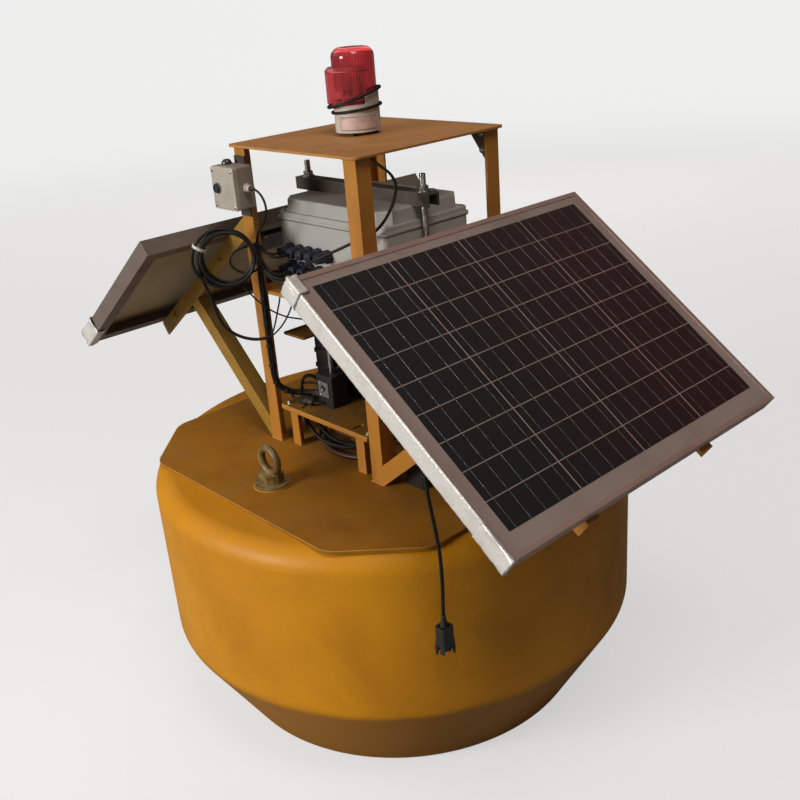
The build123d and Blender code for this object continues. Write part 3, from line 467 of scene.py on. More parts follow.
# %% The front panel's lead hangs from its junction box down past the deck
panel_lead_route = (
    (-64.2, -263.9, 843.6), (-100.0, -263.9, 843.6), (-147.0, -278.0, 828.0), (-190.0, -305.0, 806.0),
    (-228.0, -340.0, 774.0), (-258.0, -370.0, 726.0), (-278.0, -391.0, 672.0), (-283.0, -401.0, 614.0),
    (-276.0, -404.0, 560.0), (-269.0, -405.0, 505.0), (-268.0, -405.0, 450.0), (-271.0, -405.0, 405.0),
    (-271.0, -405.0, 378.0),
)
panel_lead = lay_cord("hanging_panel_lead", panel_lead_route, 6.0, finishes["cord_black"])
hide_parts("panel_lead")
print("Panel lead:", round(route_length(panel_lead), 3), "m")

# %% The beacon's lead goes under the top plate and round the lid's corner into a gland
beacon_lead_route = (
    (5.0, 20.0, 1065.0), (5.0, 20.0, 1044.0), (6.0, 6.0, 1026.0), (0.0, -21.0, 1014.0),
    (-15.0, -61.0, 1009.0), (-36.0, -103.0, 1005.0), (-59.0, -139.0, 994.0), (-84.0, -155.0, 972.0),
    (-106.0, -154.0, 946.0), (-120.0, -136.0, 926.0), (-133.0, -108.0, 914.0), (-150.0, -80.0, 900.0),
    (-167.0, -51.0, 886.0), (-171.7, -25.0, 872.0), (-165.4, -5.5, 867.0), (-149.0, 6.0, 866.0),
    (-130.2, 6.0, 866.0),
)
beacon_lead = lay_cord("beacon_lead_run", beacon_lead_route, 5.0, finishes["cord_black"])
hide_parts("beacon_lead")
print("Beacon lead:", round(route_length(beacon_lead), 3), "m")

# %% The switch box's lead hooks down to the bundle on the left leg
switch_lead_route = (
    (-180.5, 100.3, 991.0), (-180.5, 87.9, 991.0), (-179.1, 76.3, 984.4), (-177.0, 69.3, 972.0),
    (-174.3, 70.1, 956.3), (-172.0, 79.0, 941.0), (-170.0, 93.0, 927.5), (-168.0, 109.0, 914.5),
    (-166.2, 121.0, 901.5), (-165.9, 124.5, 890.8),
)
switch_lead = lay_cord("switch_box_lead", switch_lead_route, 4.0, finishes["cord_black"])
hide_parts("switch_lead")
print("Switch lead:", round(route_length(switch_lead), 3), "m")

# %% The maroon hose lies on the deck between its two fittings
hose_route = (
    (-96.0, 86.0, 500.3), (-112.0, 66.0, 500.3), (-128.0, 42.0, 500.3), (-136.0, 12.0, 500.3),
    (-136.0, -18.0, 500.3), (-128.0, -46.0, 500.3), (-113.0, -68.0, 500.3), (-96.0, -84.0, 500.3),
)
sample_hose = lay_cord("sample_hose_run", hose_route, 10.0, finishes["hose_maroon"])
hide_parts("sample_hose")
print("Sample hose:", round(route_length(sample_hose), 3), "m")

# %% [markdown]
# ## The sensor cable and its coil
# One cable does two things here: it is wound into a loose coil tied to the leg, and its last stretch hangs
# in a loop to a stripped end. So the coil's turns and the loop are control points of one and the same curve.
# Each turn has its own radius and depth, because turns held by a single tie never lie exactly together.

# %% Wind the coil, then let the end hang
coil_middle = Vector((-220.9, 145.9, 870.6))
coil_across = Vector((0.8285, -0.56, 0.0))
coil_out = Vector((-0.56, -0.8285, 0.0))
cable_diameter = 6.0
# one row a turn: radius, shift across, shift up, distance outwards
coil_turns = (
    (47.0, 3.0, 0.0, -5.5), (49.0, 1.5, 3.0, 0.5), (46.0, 4.0, 6.5, 5.5), (49.5, 2.0, -2.0, 1.0),
    (54.5, -5.5, 1.5, 7.0), (48.0, 3.0, 1.0, 11.0),
)
points_per_turn = 14
turn_start = 20.0


def coil_point(angle, radius, across, up, outwards):
    """A point of the coil, the angle counted from the leg's side."""
    sweep = math.radians(angle)
    return (coil_middle + coil_across * (across + radius * math.cos(sweep))
            + Vector((0, 0, up + radius * math.sin(sweep))) + coil_out * outwards)


cable_points = []
for turn, row in enumerate(coil_turns):
    next_row = coil_turns[min(turn + 1, len(coil_turns) - 1)]
    for step in range(points_per_turn):
        share = step / points_per_turn
        mix = max(0.0, (share - 0.5) * 2)
        blended = [here + (there - here) * mix for here, there in zip(row, next_row)]
        cable_points.append(coil_point(turn_start + 360 * (turn + share), *blended))
last_radius, last_across, last_up, last_out = coil_turns[-1]
for angle, grown in ((20, 0.0), (45, 0.0), (70, 0.5), (95, 1.0), (120, 2.0), (145, 3.5), (170, 5.0)):
    cable_points.append(coil_point(angle, last_radius + grown, last_across, last_up, last_out))
loose_end = (
    (-262.0, 170.0, 843.0), (-256.0, 167.0, 820.0), (-250.5, 164.0, 796.0), (-246.0, 162.0, 771.0),
    (-238.5, 157.5, 746.0), (-222.0, 146.5, 727.0), (-202.0, 133.2, 716.0), (-181.9, 119.6, 713.4),
    (-169.9, 111.4, 717.0),
)
cable_points += [Vector(point) for point in loose_end]
sensor_cable = lay_cord("sensor_cable_and_coil", [tuple(point) for point in cable_points], cable_diameter,
                        finishes["cord_black"])
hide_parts("sensor_cable", "cable_coil")
cable_length = route_length(sensor_cable)
print("Sensor cable:", round(cable_length, 3), "m")

# %% [markdown]
# ## Tools for repeats
# Solar cells, nuts, threads and weld beads repeat many times. Geometry Nodes suits this: a group makes one
# piece and puts a copy on each point. Every group below has named inputs, so that it serves several places,
# and ends by turning the copies into real mesh with a finish.


# %% A Geometry Nodes group and its two ends
def repeat_group(name, inputs):
    """A group with seed points, named inputs and a finish; returns it with its input and output nodes."""
    group = bpy.data.node_groups.new(name, "GeometryNodeTree")
    group.interface.new_socket("Seeds", in_out="INPUT", socket_type="NodeSocketGeometry")
    for label, kind, value in inputs:
        socket = group.interface.new_socket(label, in_out="INPUT", socket_type=kind)
        socket.default_value = value
    group.interface.new_socket("Finish", in_out="INPUT", socket_type="NodeSocketMaterial")
    group.interface.new_socket("Geometry", in_out="OUTPUT", socket_type="NodeSocketGeometry")
    return group, group.nodes.new("NodeGroupInput"), group.nodes.new("NodeGroupOutput")


def finish_group(group, given, made, copies):
    """Real copies, then their finish, then out."""
    real = group.nodes.new("GeometryNodeRealizeInstances")
    paint = group.nodes.new("GeometryNodeSetMaterial")
    group.links.new(copies, real.inputs[0])
    group.links.new(real.outputs[0], paint.inputs["Geometry"])
    group.links.new(given.outputs["Finish"], paint.inputs["Material"])
    group.links.new(paint.outputs[0], made.inputs[0])


def face_outwards(group):
    """A rotation that turns a copy's own +Z to the seed's stored direction."""
    stored = add_node(group, "GeometryNodeInputNamedAttribute", data_type="FLOAT_VECTOR", Name="outward")
    turn = add_node(group, "FunctionNodeAlignRotationToVector", axis="Z")
    group.links.new(stored.outputs[0], turn.inputs["Vector"])
    return turn.outputs[0]


def keep_mesh(name, mesh, finish, body="buoy"):
    """Turns a finished mesh into a piece that rides on a body."""
    mesh.name = name
    mesh.materials.clear()
    mesh.materials.append(finish)
    piece = bpy.data.objects.new(name, mesh)
    bpy.context.scene.collection.objects.link(piece)
    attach(piece, body)
    return piece


def grow(name, group, settings, seeds, finish, place=None, edges=(), body="buoy"):
    """Runs a group on seeds, rows of x, y, z and outward direction in millimetres, and keeps the mesh."""
    seed_mesh = bpy.data.meshes.new(name + "_seeds")
    seed_mesh.from_pydata([Vector(row[:3]) / 1000 for row in seeds], edges, [])
    if seeds:
        outward = seed_mesh.attributes.new("outward", "FLOAT_VECTOR", "POINT")
        for item, row in zip(outward.data, seeds):
            item.vector = row[3]
    carrier = bpy.data.objects.new(name + "_carrier", seed_mesh)
    bpy.context.scene.collection.objects.link(carrier)
    modifier = carrier.modifiers.new(group.name, "NODES")
    modifier.node_group = group
    for socket in group.interface.items_tree:
        if socket.in_out == "INPUT" and socket.name in settings:
            modifier[socket.identifier] = settings[socket.name]
        if socket.name == "Finish":
            modifier[socket.identifier] = finish
    depsgraph = bpy.context.evaluated_depsgraph_get()
    mesh = bpy.data.meshes.new_from_object(carrier.evaluated_get(depsgraph), depsgraph=depsgraph)
    bpy.data.objects.remove(carrier)
    if place:
        mesh.transform(place)
    print(f"{name}: {len(mesh.polygons)} faces")
    return keep_mesh(name, mesh, finish, body)


# %% Tiles: flat blocks in rows and columns
tiles, given, made = repeat_group("tile_grid", [
    ("Columns", "NodeSocketInt", 4), ("Rows", "NodeSocketInt", 9), ("Field Width", "NodeSocketFloat", 0.4),
    ("Field Length", "NodeSocketFloat", 0.4), ("Tile", "NodeSocketVector", (0.1, 0.05, 0.0002)),
    ("Middle", "NodeSocketVector", (0, 0, 0))])
field = add_node(tiles, "GeometryNodeMeshGrid")
block = add_node(tiles, "GeometryNodeMeshCube")
copies = add_node(tiles, "GeometryNodeInstanceOnPoints")
shift = add_node(tiles, "GeometryNodeTransform")
tiles.links.new(given.outputs["Field Width"], field.inputs["Size X"])
tiles.links.new(given.outputs["Field Length"], field.inputs["Size Y"])
tiles.links.new(given.outputs["Columns"], field.inputs["Vertices X"])
tiles.links.new(given.outputs["Rows"], field.inputs["Vertices Y"])
tiles.links.new(given.outputs["Tile"], block.inputs["Size"])
tiles.links.new(field.outputs["Mesh"], copies.inputs["Points"])
tiles.links.new(block.outputs["Mesh"], copies.inputs["Instance"])
tiles.links.new(copies.outputs[0], shift.inputs["Geometry"])
tiles.links.new(given.outputs["Middle"], shift.inputs["Translation"])
finish_group(tiles, given, made, shift.outputs[0])

# %% Bolts: a washer, a chamfered hexagon and a short stud
bolts, given, made = repeat_group("bolt_on_point", [
    ("Radius", "NodeSocketFloat", 0.005), ("Height", "NodeSocketFloat", 0.004), ("Sides", "NodeSocketInt", 6)])
half = add_node(bolts, "ShaderNodeMath", operation="MULTIPLY")
half.inputs[1].default_value = 0.5
bolts.links.new(given.outputs["Height"], half.inputs[0])
parts = add_node(bolts, "GeometryNodeJoinGeometry")
# one row a part of the bolt: sides, bottom radius, top radius, foot and height as shares
for sides, low_share, top_share, foot, tall in ((24, 1.45, 1.4, -0.1, 0.3), (0, 1.0, 1.0, 0.2, 0.62),
                                                (0, 1.0, 0.8, 0.82, 0.18), (12, 0.5, 0.44, 1.0, 0.35)):
    part = add_node(bolts, "GeometryNodeMeshCone", Vertices=sides or 6)
    if not sides:
        bolts.links.new(given.outputs["Sides"], part.inputs["Vertices"])
    for socket, source, share in (("Radius Bottom", "Radius", low_share), ("Radius Top", "Radius", top_share),
                                  ("Depth", "Height", tall)):
        times = add_node(bolts, "ShaderNodeMath", operation="MULTIPLY")
        times.inputs[1].default_value = share
        bolts.links.new(given.outputs[source], times.inputs[0])
        bolts.links.new(times.outputs[0], part.inputs[socket])
    lift = add_node(bolts, "ShaderNodeMath", operation="MULTIPLY")
    lift.inputs[1].default_value = foot
    raised = add_node(bolts, "ShaderNodeCombineXYZ")
    seat = add_node(bolts, "GeometryNodeTransform")
    bolts.links.new(given.outputs["Height"], lift.inputs[0])
    bolts.links.new(lift.outputs[0], raised.inputs["Z"])
    bolts.links.new(raised.outputs[0], seat.inputs["Translation"])
    bolts.links.new(part.outputs["Mesh"], seat.inputs["Geometry"])
    bolts.links.new(seat.outputs[0], parts.inputs[0])
copies = add_node(bolts, "GeometryNodeInstanceOnPoints")
bolts.links.new(given.outputs["Seeds"], copies.inputs["Points"])
bolts.links.new(parts.outputs[0], copies.inputs["Instance"])
bolts.links.new(face_outwards(bolts), copies.inputs["Rotation"])
finish_group(bolts, given, made, copies.outputs[0])

# %% Rings: a stack of thin rounds, for a thread, a gland's ridges or a strain relief
rings, given, made = repeat_group("ring_stack", [
    ("Radius", "NodeSocketFloat", 0.005), ("Thickness", "NodeSocketFloat", 0.0005),
    ("Count", "NodeSocketInt", 12), ("Spacing", "NodeSocketFloat", 0.0015)])
circle = add_node(rings, "GeometryNodeCurvePrimitiveCircle", Resolution=28)
profile = add_node(rings, "GeometryNodeCurvePrimitiveCircle", Resolution=6)
tube = add_node(rings, "GeometryNodeCurveToMesh")
step_up = add_node(rings, "ShaderNodeCombineXYZ")
stack = add_node(rings, "GeometryNodeMeshLine")
on_stack = add_node(rings, "GeometryNodeInstanceOnPoints")
copies = add_node(rings, "GeometryNodeInstanceOnPoints")
rings.links.new(given.outputs["Radius"], circle.inputs["Radius"])
rings.links.new(given.outputs["Thickness"], profile.inputs["Radius"])
rings.links.new(circle.outputs["Curve"], tube.inputs["Curve"])
rings.links.new(profile.outputs["Curve"], tube.inputs["Profile Curve"])
rings.links.new(given.outputs["Spacing"], step_up.inputs["Z"])
rings.links.new(given.outputs["Count"], stack.inputs["Count"])
rings.links.new(step_up.outputs[0], stack.inputs["Offset"])
rings.links.new(stack.outputs[0], on_stack.inputs["Points"])
rings.links.new(tube.outputs[0], on_stack.inputs["Instance"])
rings.links.new(given.outputs["Seeds"], copies.inputs["Points"])
rings.links.new(on_stack.outputs[0], copies.inputs["Instance"])
rings.links.new(face_outwards(rings), copies.inputs["Rotation"])
finish_group(rings, given, made, copies.outputs[0])

# %% Ribs: thin bars standing round a circle, for a gland nut's grip or a lens
ribs, given, made = repeat_group("ribs_round", [
    ("Radius", "NodeSocketFloat", 0.010), ("Rib", "NodeSocketVector", (0.001, 0.002, 0.008)),
    ("Count", "NodeSocketInt", 14), ("Lift", "NodeSocketVector", (0, 0, 0))])
circle = add_node(ribs, "GeometryNodeMeshCircle")
bar = add_node(ribs, "GeometryNodeMeshCube")
spot = add_node(ribs, "GeometryNodeInputPosition")
spoke = add_node(ribs, "FunctionNodeAlignRotationToVector", axis="X")
wheel = add_node(ribs, "GeometryNodeInstanceOnPoints")
raised = add_node(ribs, "GeometryNodeTransform")
copies = add_node(ribs, "GeometryNodeInstanceOnPoints")
ribs.links.new(given.outputs["Count"], circle.inputs["Vertices"])
ribs.links.new(given.outputs["Radius"], circle.inputs["Radius"])
ribs.links.new(given.outputs["Rib"], bar.inputs["Size"])
ribs.links.new(spot.outputs[0], spoke.inputs["Vector"])
ribs.links.new(circle.outputs["Mesh"], wheel.inputs["Points"])
ribs.links.new(bar.outputs["Mesh"], wheel.inputs["Instance"])
ribs.links.new(spoke.outputs[0], wheel.inputs["Rotation"])
ribs.links.new(wheel.outputs[0], raised.inputs["Geometry"])
ribs.links.new(given.outputs["Lift"], raised.inputs["Translation"])
ribs.links.new(given.outputs["Seeds"], copies.inputs["Points"])
ribs.links.new(raised.outputs[0], copies.inputs["Instance"])
ribs.links.new(face_outwards(ribs), copies.inputs["Rotation"])
finish_group(ribs, given, made, copies.outputs[0])

# %% Weld bead: overlapping drops along a line, each a little larger or smaller than the last
beads, given, made = repeat_group("weld_bead", [
    ("Radius", "NodeSocketFloat", 0.0022), ("Spacing", "NodeSocketFloat", 0.0022), ("Seed", "NodeSocketInt", 3)])
line = add_node(beads, "GeometryNodeMeshToCurve")
evenly = add_node(beads, "GeometryNodeResampleCurve", mode="LENGTH")
drop = add_node(beads, "GeometryNodeMeshIcoSphere", Subdivisions=2)
size = add_node(beads, "FunctionNodeRandomValue", data_type="FLOAT")
size.inputs[2].default_value = 0.75
size.inputs[3].default_value = 1.15
copies = add_node(beads, "GeometryNodeInstanceOnPoints")
beads.links.new(given.outputs["Seeds"], line.inputs["Mesh"])
beads.links.new(line.outputs["Curve"], evenly.inputs["Curve"])
beads.links.new(given.outputs["Spacing"], evenly.inputs["Length"])
beads.links.new(given.outputs["Radius"], drop.inputs["Radius"])
beads.links.new(given.outputs["Seed"], size.inputs["Seed"])
beads.links.new(evenly.outputs[0], copies.inputs["Points"])
beads.links.new(drop.outputs["Mesh"], copies.inputs["Instance"])
beads.links.new(size.outputs[1], copies.inputs["Scale"])
finish_group(beads, given, made, copies.outputs[0])
print("Repeat groups:", [group.name for group in (tiles, bolts, rings, ribs, beads)])

# %% [markdown]
# ## Solar panels
# A panel is a white sheet under glass, with rows of near-black cells on it and thin silver ribbons across
# them. The cells carry the glass's gloss as a clear coat. Each panel is laid out in its own axes, x across,
# y down the slope and z out of the glass, and a matrix puts it in place.

# %% Finishes for cells, ribbons and film
cell_black = bpy.data.materials.new("solar_cell_black")
cell_black.use_nodes = True
cell_tree = cell_black.node_tree
cell_shader = cell_tree.nodes["Principled BSDF"]
cell_shader.inputs["Roughness"].default_value = 0.30
cell_shader.inputs["Coat Weight"].default_value = 1.0
cell_shader.inputs["Coat Roughness"].default_value = 0.06
cell_place = add_node(cell_tree, "ShaderNodeTexCoord")
cell_split = add_node(cell_tree, "ShaderNodeSeparateXYZ")
cell_side = add_node(cell_tree, "ShaderNodeMapRange", interpolation_type="SMOOTHSTEP")
cell_side.inputs["From Min"].default_value = -0.30
cell_side.inputs["From Max"].default_value = 0.25
crystals = add_node(cell_tree, "ShaderNodeTexVoronoi", Scale=90.0)
crystal_grey = add_node(cell_tree, "ShaderNodeMapRange")
crystal_grey.inputs["To Min"].default_value = 0.0
crystal_grey.inputs["To Max"].default_value = 0.22
across_tint = add_node(cell_tree, "ShaderNodeMix", data_type="RGBA")
across_tint.inputs["A"].default_value = (0.0070, 0.0072, 0.0075, 1)
across_tint.inputs["B"].default_value = (0.0340, 0.0056, 0.0058, 1)
facet_tint = add_node(cell_tree, "ShaderNodeMix", data_type="RGBA")
facet_tint.inputs["B"].default_value = (0.020, 0.018, 0.022, 1)
cell_tree.links.new(cell_place.outputs["Object"], cell_split.inputs[0])
cell_tree.links.new(cell_split.outputs["X"], cell_side.inputs["Value"])
cell_tree.links.new(cell_side.outputs["Result"], across_tint.inputs["Factor"])
cell_tree.links.new(cell_place.outputs["Object"], crystals.inputs["Vector"])
cell_tree.links.new(crystals.outputs["Color"], crystal_grey.inputs["Value"])
cell_tree.links.new(crystal_grey.outputs["Result"], facet_tint.inputs["Factor"])
cell_tree.links.new(across_tint.outputs["Result"], facet_tint.inputs["A"])
cell_tree.links.new(facet_tint.outputs["Result"], cell_shader.inputs["Base Color"])

ribbon_silver = weathered(
    "tinned_ribbon", (0.20, 0.19, 0.18), (0.13, 0.12, 0.11), (0.3, 0.3, 0.3), rough=0.35, metal=0.6,
    coat=0.8, cloud_scale=30.0, edge_amount=0.0, dust_amount=0.0)
film_silver = weathered(
    "wrinkled_film", (0.78, 0.76, 0.73), (0.70, 0.68, 0.65), (0.94, 0.92, 0.90), rough=0.28, metal=0.15,
    coat=0.3, cloud_scale=70.0, cloud_low=0.45, cloud_high=0.62, stretch=(1, 0.35, 0.35), edge_width=0.001,
    edge_amount=7.0, dust_amount=0.05, grain_scale=150.0, grain_depth=0.0012, grain_strength=0.7)

# %% Lay the cells and ribbons of both panels
panel_tilt = math.radians(36.5)
# one row a panel: name, upper edge's middle, facing along Y, rows of cells, row pitch, first row's start, length
panels = (
    ("front", (0, -193.0, 916.0), -1, 9, 51.1, 24.0, 520.0),
    ("rear", (0, 233.5, 916.0), 1, 6, 54.5, 26.0, 381.0),
)
cell_columns = 4
column_pitch = 154.0
cell_gap = 1.7
ribbons_per_cell = 5
glass_z = -1.5
panel_axes = {}
for side, middle, facing, rows, row_pitch, start, length in panels:
    across = Vector((facing, 0, 0))
    down = Vector((0, facing * math.cos(panel_tilt), -math.sin(panel_tilt)))
    out = Vector((0, facing * math.sin(panel_tilt), math.cos(panel_tilt)))
    axes = Matrix((across, down, out)).transposed().to_4x4()
    axes.translation = Vector(middle) / 1000
    panel_axes[side] = axes
    centre_y = start + rows * row_pitch / 2
    grow(f"{side}_cells", tiles, {
        "Columns": cell_columns, "Rows": rows, "Field Width": (cell_columns - 1) * column_pitch / 1000,
        "Field Length": (rows - 1) * row_pitch / 1000,
        "Tile": ((column_pitch - cell_gap - 0.8) / 1000, (row_pitch - cell_gap) / 1000, 0.0002),
        "Middle": (0, centre_y / 1000, (glass_z + 0.12) / 1000)}, (), cell_black, axes)
    ribbon_pitch = column_pitch / ribbons_per_cell
    ribbon_columns = cell_columns * ribbons_per_cell
    grow(f"{side}_ribbons", tiles, {
        "Columns": ribbon_columns, "Rows": rows, "Field Width": (ribbon_columns - 1) * ribbon_pitch / 1000,
        "Field Length": (rows - 1) * row_pitch / 1000,
        "Tile": (0.0011, (row_pitch - 0.1) / 1000, 0.0002),
        "Middle": (0, centre_y / 1000, (glass_z + 0.26) / 1000)}, (), ribbon_silver, axes)

# %% A dull sheet on each panel's back
back_grey = weathered(
    "dull_back_sheet", (0.50, 0.465, 0.335), (0.38, 0.35, 0.25), (0.3, 0.3, 0.3), rough=0.55,
    cloud_scale=4.0, cloud_low=0.35, cloud_high=0.8, edge_amount=0.0, dust_amount=0.0)
for side, middle, facing, rows, row_pitch, start, length in panels:
    half_wide = 331.0
    half_long = (length - 8.0) / 2
    grow(f"{side}_back_sheet", tiles, {
        "Columns": 2, "Rows": 2, "Field Width": half_wide / 1000, "Field Length": half_long / 1000,
        "Tile": (half_wide / 1000, half_long / 1000, 0.0003), "Middle": (0, length / 2000, -0.0062)},
        (), back_grey, panel_axes[side])

# %% [markdown]
# ## Protective film on the frames
# The frames still wear a silvery film on one side, loose and crumpled at the corners. It is a strip swept
# along the frame with its points pushed in and out by two sizes of noise, then given a thickness.


# %% Crumpled film along a frame's side
def crumpled_film(name, axes, profile, start, end, looseness, seed):
    """A film over a profile of (across, out) points, swept down the slope, in the panel's millimetres."""
    drift = Vector((seed * 7.3, seed * 3.1, seed * 5.7))
    shell = bmesh.new()
    rows = int((end - start) / 3.5)
    grid = []
    for row in range(rows + 1):
        y = start + (end - start) * row / rows
        near_end = math.exp(-min(y - start, end - y) / 30.0)
        line = []
        for index, (x, z) in enumerate(profile):
            before = Vector(profile[max(index - 1, 0)])
            after = Vector(profile[min(index + 1, len(profile) - 1)])
            along = (after - before).normalized()
            spot = Vector((x, y, z))
            coarse = noise.noise(spot * 0.035 + drift)
            fine = noise.noise(spot * 0.16 + drift)
            push = looseness * (0.35 + 2.4 * near_end) * abs(coarse) + 1.3 * abs(fine) * (0.45 + near_end)
            line.append(shell.verts.new((x - along.y * push, y + 1.5 * fine, z + along.x * push)))
        grid.append(line)
    for low, high in zip(grid, grid[1:]):
        for index in range(len(profile) - 1):
            shell.faces.new((low[index], low[index + 1], high[index + 1], high[index]))
    bmesh.ops.recalc_face_normals(shell, faces=shell.faces)
    bmesh.ops.solidify(shell, geom=shell.faces[:], thickness=0.25)
    mesh = bpy.data.meshes.new(name)
    shell.to_mesh(mesh)
    shell.free()
    mesh.transform(Matrix.Scale(0.001, 4))
    mesh.transform(axes)
    for face in mesh.polygons:
        face.use_smooth = True
    return keep_mesh(name, mesh, film_silver)


def profile_points(corners, spacing=2.6):
    """Points every few millimetres along a line of corners."""
    points = [corners[0]]
    for (x0, z0), (x1, z1) in zip(corners, corners[1:]):
        steps = max(1, round(math.hypot(x1 - x0, z1 - z0) / spacing))
        points += [(x0 + (x1 - x0) * i / steps, z0 + (z1 - z0) * i / steps) for i in range(1, steps + 1)]
    return points


crumpled_film("front_side_film", panel_axes["front"],
              profile_points(((330.5, 0.3), (335.3, 0.3), (335.3, -30.3), (331.0, -30.3))), 1.0, 519.5, 1.6, 1)
crumpled_film("front_upper_corner_film", panel_axes["front"],
              profile_points(((318.0, 0.8), (335.9, 0.8), (335.9, -30.8), (329.0, -30.8))), -2.0, 34.0, 2.6, 2)
crumpled_film("front_lower_corner_film", panel_axes["front"],
              profile_points(((333.5, 0.8), (335.9, 0.8), (335.9, -31.5), (322.0, -33.0))), 455.0, 523.0, 3.0, 3)
crumpled_film("rear_corner_film", panel_axes["rear"],
              profile_points(((-318.0, -30.8), (-335.9, -30.8), (-335.9, 0.8), (-330.0, 0.8))), 318.0, 384.0, 3.2, 4)

# %% [markdown]
# ## The bundle on the left leg
# Five cables run down the leg side by side, held by ties. Their shared line is the route of the CAD bundle;
# each strand is that line moved sideways, and slowly turned as it goes, so that the strands twist.


# %% Points along a smooth route, with a steady frame at each
def route_points(route):
    """Points of the smooth curve through a millimetre route, as Blender evaluates it, in metres."""
    data = bpy.data.curves.new("route", "CURVE")
    data.dimensions = "3D"
    line = data.splines.new("NURBS")
    line.points.add(len(route) - 1)
    for point, (x, y, z) in zip(line.points, route):
        point.co = (x / 1000, y / 1000, z / 1000, 1)
    line.order_u = 3
    line.use_endpoint_u = True
    data.resolution_u = 8
    holder = bpy.data.objects.new("route", data)
    mesh = bpy.data.meshes.new_from_object(holder)
    points = [vertex.co.copy() for vertex in mesh.vertices]
    bpy.data.objects.remove(holder)
    return points


def side_frames(points):
    """For each point, its direction and one sideways direction that never flips."""
    side = Vector((1, 0, 0))
    frames = []
    for index in range(len(points)):
        ahead = points[min(index + 1, len(points) - 1)] - points[max(index - 1, 0)]
        ahead.normalize()
        side = (side - ahead * side.dot(ahead)).normalized()
        frames.append((ahead, side))
    return frames


# %% Strands of the bundle
bundle_route = (
    (-165.8, 127.2, 890.0), (-165.8, 126.8, 830.0), (-165.8, 127.2, 770.0), (-165.8, 126.8, 710.0),
    (-165.8, 127.2, 665.0), (-165.6, 127.0, 627.0), (-155.7, 122.6, 607.9), (-138.1, 114.0, 594.9),
    (-117.0, 102.5, 591.0), (-104.5, 85.5, 590.0), (-101.5, 66.4, 590.0),
)
bundle_points = route_points(bundle_route)
bundle_frames = side_frames(bundle_points)
strand_count = 5
strand_diameter = 4.4
strand_data = bpy.data.curves.new("leg_bundle_strands", "CURVE")
strand_data.dimensions = "3D"
strand_data.bevel_depth = strand_diameter / 2000
strand_data.bevel_resolution = 3
strand_data.use_fill_caps = True
strand_data.materials.append(finishes["cord_black"])
for strand in range(strand_count):
    line = strand_data.splines.new("POLY")
    line.points.add(len(bundle_points) - 1)
    run = 0.0
    for index, (point, (ahead, side)) in enumerate(zip(bundle_points, bundle_frames)):
        run += (point - bundle_points[max(index - 1, 0)]).length
        sweep = 2 * math.pi * strand / strand_count + run * 7.0
        wander = 0.0036 * (1.0 + 0.18 * noise.noise(Vector((strand * 9.0, run * 14.0, 0.0))))
        out = side * math.cos(sweep) + ahead.cross(side) * math.sin(sweep)
        line.points[index].co = (*(point + out * wander), 1)
strands = bpy.data.objects.new("leg_bundle_strands", strand_data)
bpy.context.scene.collection.objects.link(strands)
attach(strands, "buoy")
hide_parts("leg_cable_bundle")

# %% Cable ties round the bundle, each three ridges wide with a square lock
tie_places = (4, 11, 18, 25, 33, 42, 52, 62)
tie_rows = []
lock_rows = []
for place in tie_places:
    point = bundle_points[min(place, len(bundle_points) - 1)] * 1000
    ahead, side = bundle_frames[min(place, len(bundle_points) - 1)]
    tie_rows.append((*point, ahead))
    outward = (Vector((-0.7, -0.7, 0.2)) - ahead * Vector((-0.7, -0.7, 0.2)).dot(ahead)).normalized()
    lock_rows.append((*(point + outward * 6.0), outward))
grow("bundle_ties", rings, {"Radius": 0.0063, "Thickness": 0.0007, "Count": 3, "Spacing": 0.0010},
     tie_rows, finishes["cord_black"])
grow("bundle_tie_locks", bolts, {"Radius": 0.0024, "Height": 0.0026, "Sides": 4},
     lock_rows, finishes["cord_black"])

# %% [markdown]
# ## Leads from the glands
# Six of the glands have a lead that curves over to the bundle. Each is a short free cord, so it is a NURBS
# curve like the long ones, and its length is measured.

# %% Gland leads
lead_diameter = 5.0
gland_lead_routes = {
    "gland_lead_a": ((-129.8, 110, 834), (-141, 110, 833), (-152, 112, 835), (-159, 116, 842), (-162, 120, 853)),
    "gland_lead_b": ((-129.8, 84, 834), (-145, 84, 832), (-158, 90, 834), (-164, 104, 843), (-165, 118, 858)),
    "gland_lead_c": ((-129.8, 84, 866), (-146, 84, 864), (-159, 90, 866), (-166, 103, 873), (-167, 118, 882)),
    "gland_lead_d": ((-129.8, 58, 834), (-150, 58, 831), (-164, 67, 830), (-171, 86, 835), (-171, 105, 843),
                     (-168, 120, 856)),
    "gland_lead_e": ((-129.8, 110, 866), (-141, 110, 865), (-152, 112, 867), (-159, 116, 874), (-162, 120, 885)),
    "gland_lead_f": ((-129.8, 32, 834), (-151, 32, 830), (-167, 43, 827), (-174, 68, 829), (-173, 97, 836),
                     (-169, 120, 844)),
}
for lead_name, lead_route in gland_lead_routes.items():
    lead = lay_cord(lead_name, lead_route, lead_diameter, finishes["cord_black"])
    round(route_length(lead), 3)
print("Gland leads:", len(gland_lead_routes))

# %% [markdown]
# ## Strain reliefs
# Where a lead leaves a housing, a tapered rubber sleeve keeps it from bending sharply. The sleeve is one
# profile of ridges that get thinner towards the tip, turned round the lead.


